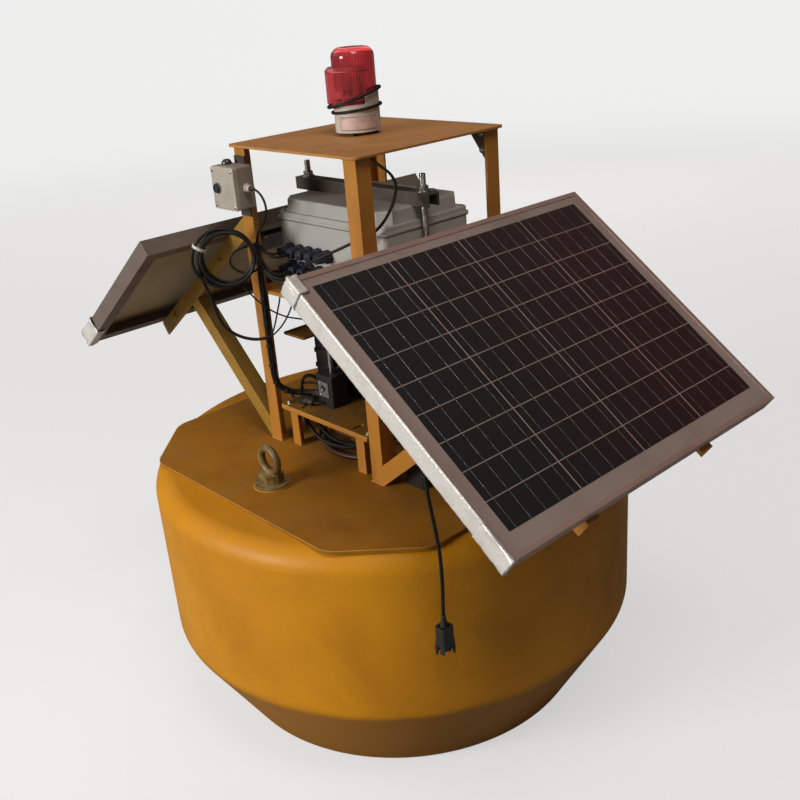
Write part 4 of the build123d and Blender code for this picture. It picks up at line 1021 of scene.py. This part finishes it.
# %% Turn a profile round an axis
def turned(name, start, direction, profile, finish, sides=24):
    """A closed solid of revolution; the profile is rows of (distance along the axis, radius) in millimetres."""
    ahead = Vector(direction).normalized()
    side = ahead.orthogonal().normalized()
    other = ahead.cross(side)
    shell = bmesh.new()
    loops = []
    for along, radius in profile:
        middle = Vector(start) + ahead * along
        loops.append([
            shell.verts.new((middle + (side * math.cos(2 * math.pi * i / sides)
                                       + other * math.sin(2 * math.pi * i / sides)) * radius) / 1000)
            for i in range(sides)])
    for low, high in zip(loops, loops[1:]):
        for i in range(sides):
            shell.faces.new((low[i], low[(i + 1) % sides], high[(i + 1) % sides], high[i]))
    shell.faces.new(loops[0])
    shell.faces.new(loops[-1])
    bmesh.ops.recalc_face_normals(shell, faces=shell.faces)
    mesh = bpy.data.meshes.new(name)
    shell.to_mesh(mesh)
    shell.free()
    for face in mesh.polygons:
        face.use_smooth = len(face.vertices) == 4
    return keep_mesh(name, mesh, finish)


def sleeve_profile(length, wide, narrow, ridges):
    """A taper from wide to narrow with a groove between every two ridges."""
    rows = [(0.0, wide * 0.9)]
    for ridge in range(ridges):
        for part, dip in ((0.15, 0.0), (0.6, 0.0), (0.7, 0.55), (0.95, 0.55)):
            share = (ridge + part) / ridges
            rows.append((length * share, wide + (narrow - wide) * share - dip))
    rows.append((length, narrow * 0.85))
    return rows


# one row a sleeve: name, start, direction, length, wide radius, narrow radius, ridges
sleeves = (
    ("panel_lead_relief", (-63.5, -263.9, 843.6), (-1, 0, 0), 26.0, 6.4, 3.8, 6),
    ("beacon_lead_relief", (5.0, 20.0, 1056.5), (0, 0, -1), 20.0, 5.6, 3.2, 5),
    ("switch_lead_relief", (-180.5, 101.0, 991.0), (0, -1, 0), 12.0, 4.6, 2.7, 4),
    ("connector_relief", (-271.0, -405.0, 377.6), (0, 0, 1), 20.0, 5.6, 3.8, 5),
    ("coil_cable_relief", (-101.5, 67.0, 590.0), (-0.16, 0.98, 0.0), 14.0, 8.6, 6.6, 4),
)
for sleeve_name, start, direction, length, wide, narrow, ridges in sleeves:
    turned(sleeve_name, start, direction, sleeve_profile(length, wide, narrow, ridges),
           finishes["black_rubber"])

# %% [markdown]
# ## Cable glands
# Each gland has a ribbed nut, a domed cap with ridges, and a lead or a blind plug in its mouth.

# %% Ribs, ridges and plugs of the glands
gland_rows = [(-100.0, y, z, (-1, 0, 0)) for z in (834.0, 866.0) for y in (110.0, 84.0, 58.0, 32.0, 6.0)]
grow("gland_nut_ribs", ribs, {"Radius": 0.0115, "Rib": (0.0013, 0.0026, 0.0075), "Count": 12,
                              "Lift": (0, 0, 0.0045)}, gland_rows, finishes["gland_black"])
cap_rows = [(-112.0, y, z, out) for x, y, z, out in gland_rows]
grow("gland_cap_ribs", ribs, {"Radius": 0.0084, "Rib": (0.0011, 0.0018, 0.0105), "Count": 16,
                              "Lift": (0, 0, 0.0060)}, cap_rows, finishes["gland_black"])
mouth_rows = [(-125.0, y, z, out) for x, y, z, out in gland_rows]
grow("gland_mouths", rings, {"Radius": 0.0072, "Thickness": 0.0012, "Count": 3, "Spacing": 0.0020},
     mouth_rows, finishes["gland_black"])
leads_at = [route[0][1:] for route in gland_lead_routes.values()] + [(6.0, 866.0)]
plug_rows = [(-129.5, y, z, out) for x, y, z, out in gland_rows if (y, z) not in leads_at]
grow("gland_plugs", bolts, {"Radius": 0.0042, "Height": 0.0030, "Sides": 16}, plug_rows,
     finishes["gland_black"])

# %% [markdown]
# ## Nuts, screws and threads
# Small fasteners are placed from tables: a point, the direction that it faces, and one line for each size.

# %% Fasteners on the buoy
zinc = finishes["rod_steel"]
box_low, box_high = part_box("switch_box_cover")
cover_x = box_low[0] * 1000
cover_screws = [(cover_x, y, z, (-1, 0, 0)) for y in (119.5, 175.5) for z in (960.5, 1021.5)]
lid_screws = [(x, y, 932.2, (0, 0, 1)) for x in (-91.0, 91.0) for y in (-136.0, 136.0)]
face_screws = [(-117.0, y, z, (-1, 0, 0)) for y in (31.8, 54.2) for z in (598.0, 622.0)]
shelf_bolts = [(x, y, 575.0, (0, 0, 1)) for x in (-148.0, -60.0, 60.0, 148.0) for y in (-114.0, 114.0)]
gusset_bolts = [(159.5, y, z, (-1, 0, 0)) for y in (-126.0, 126.0) for z in (1016.0, 1044.0)]
deck_box_screws = [(x, y, 551.0, (0, 0, 1)) for x in (-124.0, -42.0) for y in (-222.0, -194.0)]
# one row a size: name, points, radius, height, sides
fastener_rows = (
    ("cover_screws", cover_screws, 2.4, 1.4, 16),
    ("lid_screws", lid_screws, 3.4, 2.2, 16),
    ("logger_face_screws", face_screws, 1.5, 1.0, 12),
    ("shelf_bolts", shelf_bolts, 4.4, 3.6, 6),
    ("gusset_bolts", gusset_bolts, 4.0, 3.2, 6),
    ("deck_box_screws", deck_box_screws, 2.6, 1.6, 12),
)
for fastener_name, rows, radius, height, sides in fastener_rows:
    grow(fastener_name, bolts, {"Radius": radius / 1000, "Height": height / 1000, "Sides": sides}, rows,
         zinc)

# %% Bolts of the panels, in the panels' own axes
for side, middle, facing, rows, row_pitch, start, length in panels:
    rail_bolts = [(x, y, -45.0, (x / abs(x), 0, 0)) for x in (-162.5, 162.5) for y in (70.0, length - 60.0)]
    # The rear bolts take the rails' darker paint, which is painted shade.
    grow(f"{side}_rail_bolts", bolts, {"Radius": 0.0050, "Height": 0.0040, "Sides": 6}, rail_bolts,
         piece_finishes.get(f"{side}_panel_rails", finishes["tower_paint"]), panel_axes[side])
    lid_rows = [(x, y, -26.0, (0, 0, -1)) for x in (-43.0, 43.0) for y in (67.0, 133.0)]
    grow(f"{side}_junction_screws", bolts, {"Radius": 0.0024, "Height": 0.0016, "Sides": 12}, lid_rows, zinc,
         panel_axes[side])

# %% Threads of the two clamp rods
thread_rows = [(-14.0, y, z, (0, 0, 1)) for y in (-152.5, 152.5) for z in (803.0,)]
grow("clamp_rod_threads_low", rings, {"Radius": 0.0050, "Thickness": 0.00055, "Count": 96,
                                      "Spacing": 0.0016}, thread_rows, zinc)
tip_rows = [(-14.0, y, 989.0, (0, 0, 1)) for y in (-152.5, 152.5)]
grow("clamp_rod_threads_high", rings, {"Radius": 0.0050, "Thickness": 0.00055, "Count": 12,
                                       "Spacing": 0.0016}, tip_rows, zinc)

# %% Ribs of the knob, the vent and the beacon's lens
grow("knob_ribs", ribs, {"Radius": 0.0076, "Rib": (0.0009, 0.0013, 0.0048), "Count": 18, "Lift": (0, 0, 0.0030)},
     [(-205.0, 163.5, 991.0, (-1, 0, 0))], finishes["gland_black"])
grow("vent_ribs", ribs, {"Radius": 0.0090, "Rib": (0.0011, 0.0016, 0.0095), "Count": 22, "Lift": (0, 0, 0.0060)},
     [(34.0, -122.0, 956.0, (0, 0, 1))], finishes["cap_grey"])
grow("lens_flutes", ribs, {"Radius": 0.0346, "Rib": (0.0010, 0.0022, 0.062), "Count": 44,
                           "Lift": (0, 0, 0.031)}, [(5.0, 20.0, 1134.0, (0, 0, 1))], dome_red)

# %% [markdown]
# ## Weld beads
# The tower is welded to the deck and to its top plate. Each bead follows a short line of points, and its
# paint is the paint of what it joins.

# %% Beads at the legs, the collar and the eye bolts
leg_line = ((132.5, 162.5), (162.5, 162.5), (162.5, 132.5))
bead_rows = []
bead_edges = []
for sign_x in (-1, 1):
    for sign_y in (-1, 1):
        for z in (495.6, 1055.4):
            first = len(bead_rows)
            bead_rows += [(sign_x * x, sign_y * y, z, (0, 0, 1)) for x, y in leg_line]
            bead_edges += [(first, first + 1), (first + 1, first + 2)]
grow("tower_weld_beads", beads, {"Radius": 0.0024, "Spacing": 0.0024, "Seed": 5}, bead_rows,
     finishes["tower_paint"], edges=bead_edges)
ring_rows = []
ring_edges = []
for middle_x, radius in ((0.0, 77.0), (-284.0, 31.6), (284.0, 31.6)):
    first = len(ring_rows)
    for i in range(48):
        sweep = 2 * math.pi * i / 48
        ring_rows.append((middle_x + radius * math.cos(sweep), radius * math.sin(sweep), 495.4, (0, 0, 1)))
        ring_edges.append((first + i, first + (i + 1) % 48))
grow("deck_weld_beads", beads, {"Radius": 0.0021, "Spacing": 0.0023, "Seed": 8}, ring_rows,
     finishes["deck_paint"], edges=ring_edges)

# %% [markdown]
# ## The equipment box, the beacon and the logger
# These carry small moulded details: a seal round the box's lid, a blank name plate on the beacon, and a
# window on the logger.


# %% A band that follows a rounded rectangle
def rectangle_band(name, middle, half_x, half_y, corner, low, high, stand, finish):
    """A low band standing off the walls of a rounded box, in millimetres."""
    path = []
    for centre_x, centre_y, first in ((1, 1, 0), (-1, 1, 90), (-1, -1, 180), (1, -1, 270)):
        for step in range(7):
            turn = math.radians(first + 15 * step)
            path.append((centre_x * (half_x - corner), centre_y * (half_y - corner), math.cos(turn),
                         math.sin(turn)))
    section = ((corner - 0.6, low), (corner + stand, low + 0.4), (corner + stand, high - 0.4), (corner - 0.6, high))
    shell = bmesh.new()
    loops = [[shell.verts.new(((middle[0] + x + cos * reach) / 1000, (middle[1] + y + sin * reach) / 1000,
                               z / 1000)) for x, y, cos, sin in path] for reach, z in section]
    for low_loop, high_loop in zip(loops, loops[1:] + loops[:1]):
        for i in range(len(path)):
            after = (i + 1) % len(path)
            shell.faces.new((low_loop[i], low_loop[after], high_loop[after], high_loop[i]))
    bmesh.ops.recalc_face_normals(shell, faces=shell.faces)
    mesh = bpy.data.meshes.new(name)
    shell.to_mesh(mesh)
    shell.free()
    return keep_mesh(name, mesh, finish)


rectangle_band("lid_seal", (0, 0), 100.0, 145.0, 6.0, 916.4, 918.6, 0.7, finishes["cap_grey"])
rectangle_band("lid_rim", (0, 0), 100.0, 145.0, 6.0, 918.6, 924.0, 1.4, finishes["enclosure_grey"])


# %% Blank name plate and its border, bent to the beacon's base
def bent_plate(name, inner, outer, wide, low, high, finish):
    """A thin plate bent round the beacon's upright axis: radii and heights in millimetres, width in degrees."""
    shell = bmesh.new()
    rows = []
    for column in range(17):
        turn = math.radians(-129.0 + (column / 16 - 0.5) * wide)
        rows.append([shell.verts.new(((5.0 + radius * math.cos(turn)) / 1000, (20.0 + radius * math.sin(turn)) / 1000,
                                      z / 1000))
                     for radius, z in ((inner, low), (outer, low + 0.3), (outer, high - 0.3), (inner, high))])
    for near, far in zip(rows, rows[1:]):
        for i in range(4):
            shell.faces.new((near[i], near[(i + 1) % 4], far[(i + 1) % 4], far[i]))
    shell.faces.new(rows[0])
    shell.faces.new(rows[-1])
    bmesh.ops.recalc_face_normals(shell, faces=shell.faces)
    mesh = bpy.data.meshes.new(name)
    shell.to_mesh(mesh)
    shell.free()
    return keep_mesh(name, mesh, finish)


plate_rose = weathered("rose_plate_paint", (0.62, 0.47, 0.43), (0.45, 0.30, 0.27), (0.8, 0.7, 0.66), rough=0.35,
                       cloud_scale=60.0, dust_amount=0.1)
border_red = weathered("dull_red_border", (0.20, 0.055, 0.050), (0.14, 0.04, 0.04), (0.4, 0.2, 0.18), rough=0.4,
                       cloud_scale=60.0, dust_amount=0.1)
bent_plate("beacon_plate_border", 39.2, 40.1, 103.0, 1070.0, 1093.0, border_red)
bent_plate("beacon_blank_plate", 39.6, 40.6, 99.0, 1071.0, 1092.0, plate_rose)

# %% Rings moulded round the beacon's base, and the logger's dark window
grow("beacon_base_rings", rings, {"Radius": 0.0394, "Thickness": 0.0007, "Count": 2, "Spacing": 0.0036},
     [(5.0, 20.0, 1066.5, (0, 0, 1))], finishes["light_plastic"])
turned("logger_window", (-116.6, 43.0, 613.0), (-1, 0, 0), ((0.0, 6.4), (1.6, 6.4), (2.0, 5.6), (1.2, 5.2), (1.3, 0.2)),
       finishes["cell_lens"], sides=28)

# %% Shell and two latch prongs of the hanging connector, and the knob's collar
rectangle_band("connector_shell", (-271.0, -405.0), 8.5, 7.5, 1.5, 342.0, 377.0, 3.5, finishes["module_black"])
prong_profile = ((0.0, 2.2), (3.0, 3.6), (16.0, 3.4), (24.0, 2.2), (29.0, 0.7))
turned("connector_prong_left", (-280.0, -397.5, 352.0), (-0.06, 0.05, -1.0), prong_profile, finishes["module_black"],
       10)
turned("connector_prong_right", (-262.0, -412.5, 352.0), (0.06, -0.05, -1.0), prong_profile, finishes["module_black"],
       10)
turned("knob_collar", (-204.9, 163.5, 991.0), (-1.0, 0.0, 0.0), ((0.0, 9.6), (1.5, 9.6), (2.4, 8.6)),
       finishes["cap_grey"], 32)

# %% [markdown]
# ## Cables on the shelf
# Behind the logger the bundle's strands part and lie on the shelf before they enter the devices. Two of them
# pass through black in-line plugs.

# %% Shelf cables and their plugs
shelf_cable_routes = {
    "shelf_cable_a": ((-141.0, 114.0, 599.0), (-141.0, 112.0, 588.0), (-138.0, 104.0, 583.0), (-134.5, 92.0, 583.0),
                      (-130.0, 60.0, 583.6), (-124.0, 47.0, 583.0), (-115.2, 44.0, 583.0)),
    "shelf_cable_b": ((-119.0, 103.5, 594.0), (-123.0, 105.0, 587.0), (-125.5, 99.0, 583.0), (-124.0, 67.0, 583.0),
                      (-121.0, 58.0, 582.0), (-115.2, 55.0, 582.0)),
    "shelf_cable_c": ((-104.5, 86.0, 592.0), (-98.0, 92.0, 585.0), (-88.0, 98.0, 580.0), (-76.0, 101.0, 580.0),
                      (-65.2, 100.0, 584.0)),
}
for cable_name, cable_route in shelf_cable_routes.items():
    shelf_cable = lay_cord(cable_name, cable_route, 5.0, finishes["cord_black"])
    round(route_length(shelf_cable), 3)

under_shelf_routes = {
    "under_shelf_cable_a": (8.0, ((-118.0, 112.0, 571.9), (-124.0, 104.0, 552.0), (-130.0, 84.0, 528.0),
                                  (-132.0, 50.0, 512.0), (-128.0, 10.0, 508.0), (-124.0, -30.0, 514.0),
                                  (-120.0, -62.0, 530.0), (-117.0, -84.0, 552.0), (-114.0, -92.0, 571.9))),
    "under_shelf_cable_b": (8.0, ((-92.0, 114.0, 571.9), (-98.0, 102.0, 545.0), (-112.0, 72.0, 520.0),
                                  (-112.0, 30.0, 506.0), (-106.0, -10.0, 506.0), (-98.0, -46.0, 520.0),
                                  (-93.0, -66.0, 546.0), (-90.0, -72.0, 571.9))),
    "under_shelf_cable_c": (7.0, ((-60.0, 116.0, 571.9), (-70.0, 104.0, 550.0), (-86.0, 74.0, 534.0),
                                  (-94.0, 40.0, 524.0), (-92.0, 0.0, 524.0), (-86.0, -30.0, 538.0),
                                  (-82.0, -50.0, 558.0), (-80.0, -54.0, 571.9))),
    "under_shelf_cable_d": (4.0, ((-104.0, -100.0, 571.9), (-110.0, -92.0, 556.0), (-118.0, -60.0, 540.0),
                                  (-121.0, -20.0, 534.0), (-122.0, 20.0, 538.0), (-118.0, 50.0, 552.0),
                                  (-114.0, 62.0, 571.9))),
}
for cable_name, (cable_width, cable_route) in under_shelf_routes.items():
    sagging_finish = ("cord_black", "hose_maroon")[cable_width == 4.0]
    sagging_cable = lay_cord(cable_name, cable_route, cable_width, finishes[sagging_finish])
    round(route_length(sagging_cable), 3)
plug_profile = ((0.0, 3.4), (2.0, 6.2), (12.0, 6.6), (12.5, 7.6), (16.0, 7.6), (16.5, 6.6), (30.0, 6.2), (33.0, 3.6))
turned("shelf_plug_a", (-125.5, 99.0, 583.0), (0.05, -1.0, 0.0), plug_profile, finishes["module_black"])
turned("shelf_plug_b", (-134.5, 92.0, 583.0), (0.10, -1.0, 0.02), plug_profile, finishes["module_black"])
spare_points = [(-141.0, 113.0, 600.0), (-132.0, 113.0, 594.0)]
for i in range(43):
    turn = math.radians(200 + 25 * i)
    reach = 19.0 + 1.6 * math.sin(1.3 * i)
    spare_points.append((-104.0 + 0.75 * reach * math.cos(turn) + 0.14 * i, 101.0 - 0.66 * reach * math.cos(turn)
                         + 0.16 * i - 3.0, 600.5 + reach * math.sin(turn)))
spare_points += [(-106.0, 84.0, 612.0), (-104.0, 74.0, 606.0), (-102.0, 66.2, 600.0)]
spare_loop = lay_cord("spare_loop", spare_points, 5.0, finishes["cord_black"])
round(route_length(spare_loop), 3)
print("Spare loop:", round(route_length(spare_loop), 3), "m")
print("Shelf cables:", len(shelf_cable_routes))
for band_name, low, high in (("case_band_low", 622.0, 630.0), ("case_band_mid", 652.0, 660.0),
                             ("case_band_top", 684.0, 694.0)):
    rectangle_band(band_name, (-38.0, 100.0), 27.0, 26.0, 3.0, low, high, 2.2, finishes["module_black"])

# %% Folded lips under the shelf's two long edges
for lip_name, lip_side in (("shelf_lip_left", -1), ("shelf_lip_right", 1)):
    lip_shape = bmesh.new()
    lip_section = ((157.6, 574.9), (158.6, 574.7), (159.4, 573.9), (159.6, 572.8), (159.6, 566.6), (159.2, 566.0),
                   (158.5, 566.0), (158.1, 566.6), (158.1, 572.2), (157.6, 572.4))
    lip_rows = [[lip_shape.verts.new((lip_side * x / 1000, y / 1000, z / 1000)) for x, z in lip_section]
                for y in (-123.0, -60.0, 0.0, 60.0, 123.0)]
    for near_row, far_row in zip(lip_rows, lip_rows[1:]):
        for i in range(len(lip_section)):
            after = (i + 1) % len(lip_section)
            lip_shape.faces.new((near_row[i], near_row[after], far_row[after], far_row[i]))
    lip_shape.faces.new(lip_rows[0])
    lip_shape.faces.new(lip_rows[-1])
    bmesh.ops.recalc_face_normals(lip_shape, faces=lip_shape.faces)
    lip_mesh = bpy.data.meshes.new(lip_name)
    lip_shape.to_mesh(lip_mesh)
    lip_shape.free()
    keep_mesh(lip_name, lip_mesh, finishes["tower_paint"])

# %% [markdown]
# ## What holds the coil
# A white tie keeps the coil's turns together at the far side, and a smaller loop of cable lies inside it. The
# cable's stripped end splits into two thin wires that run up under the middle shelf, and another thin wire
# crosses from the coil to the tall case.

# %% Inner loop, white tie and thin wires
inner_loop_route = (
    (-166.0, 121.0, 886.0), (-176.0, 121.0, 890.0), (-192.0, 126.0, 888.0), (-207.0, 135.6, 883.0),
    (-216.5, 142.0, 871.0), (-216.0, 141.5, 857.0), (-206.0, 135.0, 845.0), (-191.0, 126.0, 839.0),
    (-177.0, 119.0, 843.0), (-169.0, 119.0, 852.0),
)
inner_loop = lay_cord("inner_loop", inner_loop_route, 4.5, finishes["cord_black"])
round(route_length(inner_loop), 3)
cross_route = (
    (-206.0, 137.5, 826.5), (-198.0, 127.0, 808.0), (-185.0, 117.0, 787.0), (-170.5, 111.0, 771.0),
    (-152.0, 109.0, 756.0), (-130.0, 107.0, 743.0), (-108.0, 105.0, 735.0), (-90.0, 103.0, 727.0),
    (-80.0, 101.0, 711.5),
)
cross_wire = lay_cord("cross_wire", cross_route, 3.0, finishes["cord_black"])
round(route_length(cross_wire), 3)
coil_tie_place = coil_point(150.0, 49.5, 0.5, 1.5, 3.0)
coil_tie_way = coil_point(152.0, 49.5, 0.5, 1.5, 3.0) - coil_point(148.0, 49.5, 0.5, 1.5, 3.0)
grow("coil_tie", rings, {"Radius": 0.0125, "Thickness": 0.0009, "Count": 4, "Spacing": 0.0012},
     [(*coil_tie_place, coil_tie_way)], finishes["light_plastic"])
wire_routes = {
    "thin_wire_left": ((-170.2, 111.6, 716.8), (-163.0, 108.0, 733.0), (-155.0, 106.0, 758.0),
                       (-147.0, 105.0, 779.0), (-142.0, 105.0, 797.2)),
    "thin_wire_right": ((-170.2, 111.6, 716.8), (-158.0, 104.0, 726.0), (-140.0, 100.0, 744.0),
                        (-123.0, 98.0, 770.0), (-113.0, 98.0, 797.2)),
}
for wire_name, wire_route in wire_routes.items():
    thin_wire = lay_cord(wire_name, wire_route, 3.0, finishes["cord_black"])
    round(route_length(thin_wire), 3)

# %% [markdown]
# ## The floor and the light
# The floor is a wide pale dish whose far rim curves up, so no horizon shows behind the object. A large soft
# lamp on the left makes the photograph's bright left side and leaves the right side in shade; the sky only
# fills in.

# %% Floor with a curved rim
floor_shape = bmesh.new()
# one row a ring of the dish: radius and height in metres
dish = ((0.0, 0.0), (6.0, 0.0), (9.0, 0.0), (10.0, 0.12), (11.0, 0.5), (12.0, 1.2), (13.0, 2.2), (14.0, 3.6))
dish_sides = 96
dish_rings = [[floor_shape.verts.new((0, 0, 0))]]
for radius, height in dish[1:]:
    dish_rings.append([
        floor_shape.verts.new((radius * math.cos(2 * math.pi * i / dish_sides),
                               radius * math.sin(2 * math.pi * i / dish_sides), height))
        for i in range(dish_sides)])
for i in range(dish_sides):
    floor_shape.faces.new((dish_rings[0][0], dish_rings[1][i], dish_rings[1][(i + 1) % dish_sides]))
for inner, outer in zip(dish_rings[1:], dish_rings[2:]):
    for i in range(dish_sides):
        floor_shape.faces.new((inner[i], outer[i], outer[(i + 1) % dish_sides], inner[(i + 1) % dish_sides]))
floor_mesh = bpy.data.meshes.new("studio_floor")
floor_shape.to_mesh(floor_mesh)
floor_shape.free()
for face in floor_mesh.polygons:
    face.use_smooth = True
floor = bpy.data.objects.new("studio_floor", floor_mesh)
bpy.context.scene.collection.objects.link(floor)
floor.location.z = -0.0005
floor_paint = bpy.data.materials.new("pale_floor")
floor_paint.use_nodes = True
floor_tree = floor_paint.node_tree
floor_shader = floor_tree.nodes["Principled BSDF"]
floor_shader.inputs["Base Color"].default_value = (0.30, 0.30, 0.30, 1)
floor_shader.inputs["Roughness"].default_value = 0.8
floor_shader.inputs["Emission Color"].default_value = (1.0, 1.0, 1.0, 1)
far_place = add_node(floor_tree, "ShaderNodeTexCoord")
far_length = add_node(floor_tree, "ShaderNodeVectorMath", operation="LENGTH")
far_glow = add_node(floor_tree, "ShaderNodeMapRange", interpolation_type="SMOOTHSTEP")
far_glow.inputs["From Min"].default_value = 1.5
far_glow.inputs["From Max"].default_value = 9.0
far_glow.inputs["To Min"].default_value = 0.58
far_glow.inputs["To Max"].default_value = 0.80
floor_rays = add_node(floor_tree, "ShaderNodeLightPath")
seen_glow = add_node(floor_tree, "ShaderNodeMath", operation="MULTIPLY")
floor_tree.links.new(far_place.outputs["Object"], far_length.inputs[0])
floor_tree.links.new(far_length.outputs["Value"], far_glow.inputs["Value"])
floor_tree.links.new(far_glow.outputs["Result"], seen_glow.inputs[0])
seen_rays = add_node(floor_tree, "ShaderNodeMath", operation="MAXIMUM")
floor_tree.links.new(floor_rays.outputs["Is Camera Ray"], seen_rays.inputs[0])
floor_tree.links.new(floor_rays.outputs["Is Transmission Ray"], seen_rays.inputs[1])
floor_tree.links.new(seen_rays.outputs[0], seen_glow.inputs[1])
floor_tree.links.new(seen_glow.outputs[0], floor_shader.inputs["Emission Strength"])
floor_mesh.materials.append(floor_paint)

# %% Sky and lamps
sky = bpy.data.worlds.new("pale_sky")
bpy.context.scene.world = sky
sky.use_nodes = True
sky.node_tree.nodes["Background"].inputs["Color"].default_value = (1.0, 0.94, 0.90, 1)
sky_way = add_node(sky.node_tree, "ShaderNodeTexCoord")
sky_left = add_node(sky.node_tree, "ShaderNodeVectorMath", operation="DOT_PRODUCT")
sky_left.inputs[1].default_value = (-0.8, 0.3, 0.5)
sky_light = add_node(sky.node_tree, "ShaderNodeMapRange")
sky_light.inputs["From Min"].default_value = -0.6
sky_light.inputs["To Min"].default_value = 0.03
sky_light.inputs["To Max"].default_value = 0.26
sky.node_tree.links.new(sky_way.outputs["Generated"], sky_left.inputs[0])
sky.node_tree.links.new(sky_left.outputs["Value"], sky_light.inputs["Value"])
sky_rays = add_node(sky.node_tree, "ShaderNodeLightPath")
sky_seen = add_node(sky.node_tree, "ShaderNodeMath", operation="MAXIMUM")
sky_sum = add_node(sky.node_tree, "ShaderNodeMath", operation="MULTIPLY_ADD")
sky_sum.inputs[1].default_value = 0.72
sky.node_tree.links.new(sky_rays.outputs["Is Camera Ray"], sky_seen.inputs[0])
sky.node_tree.links.new(sky_rays.outputs["Is Transmission Ray"], sky_seen.inputs[1])
sky.node_tree.links.new(sky_seen.outputs[0], sky_sum.inputs[0])
sky.node_tree.links.new(sky_light.outputs["Result"], sky_sum.inputs[2])
sky.node_tree.links.new(sky_sum.outputs[0], sky.node_tree.nodes["Background"].inputs["Strength"])

# one row a lamp: name, place, size, watts, colour
lamps = (
    ("key_lamp", (-3.6, 0.75, 1.7), 1.2, 102.0, (1.0, 0.98, 0.93)),
    ("fill_lamp", (-0.9, -1.9, 4.5), 1.6, 62.0, (1.0, 0.87, 0.78)),
    ("back_lamp", (-0.6, 3.2, 3.4), 2.0, 8.0, (1.0, 0.97, 0.92)),
    ("side_lamp", (3.4, 3.2, 2.6), 2.6, 42.0, (1.0, 0.95, 0.90)),
)
for lamp_name, lamp_place, lamp_size, watts, lamp_colour in lamps:
    lamp_data = bpy.data.lights.new(lamp_name, "AREA")
    lamp_data.size = lamp_size
    lamp_data.energy = watts
    lamp_data.color = lamp_colour
    studio_lamp = bpy.data.objects.new(lamp_name, lamp_data)
    bpy.context.scene.collection.objects.link(studio_lamp)
    studio_lamp.location = lamp_place
    studio_lamp.visible_glossy = lamp_name != "side_lamp"
    studio_lamp.rotation_mode = "QUATERNION"
    studio_lamp.rotation_quaternion = (Vector((0, 0, 0.6)) - Vector(lamp_place)).to_track_quat("-Z", "Y")
bpy.context.scene.view_settings.view_transform = "Standard"
print("Lamps:", len(lamps))
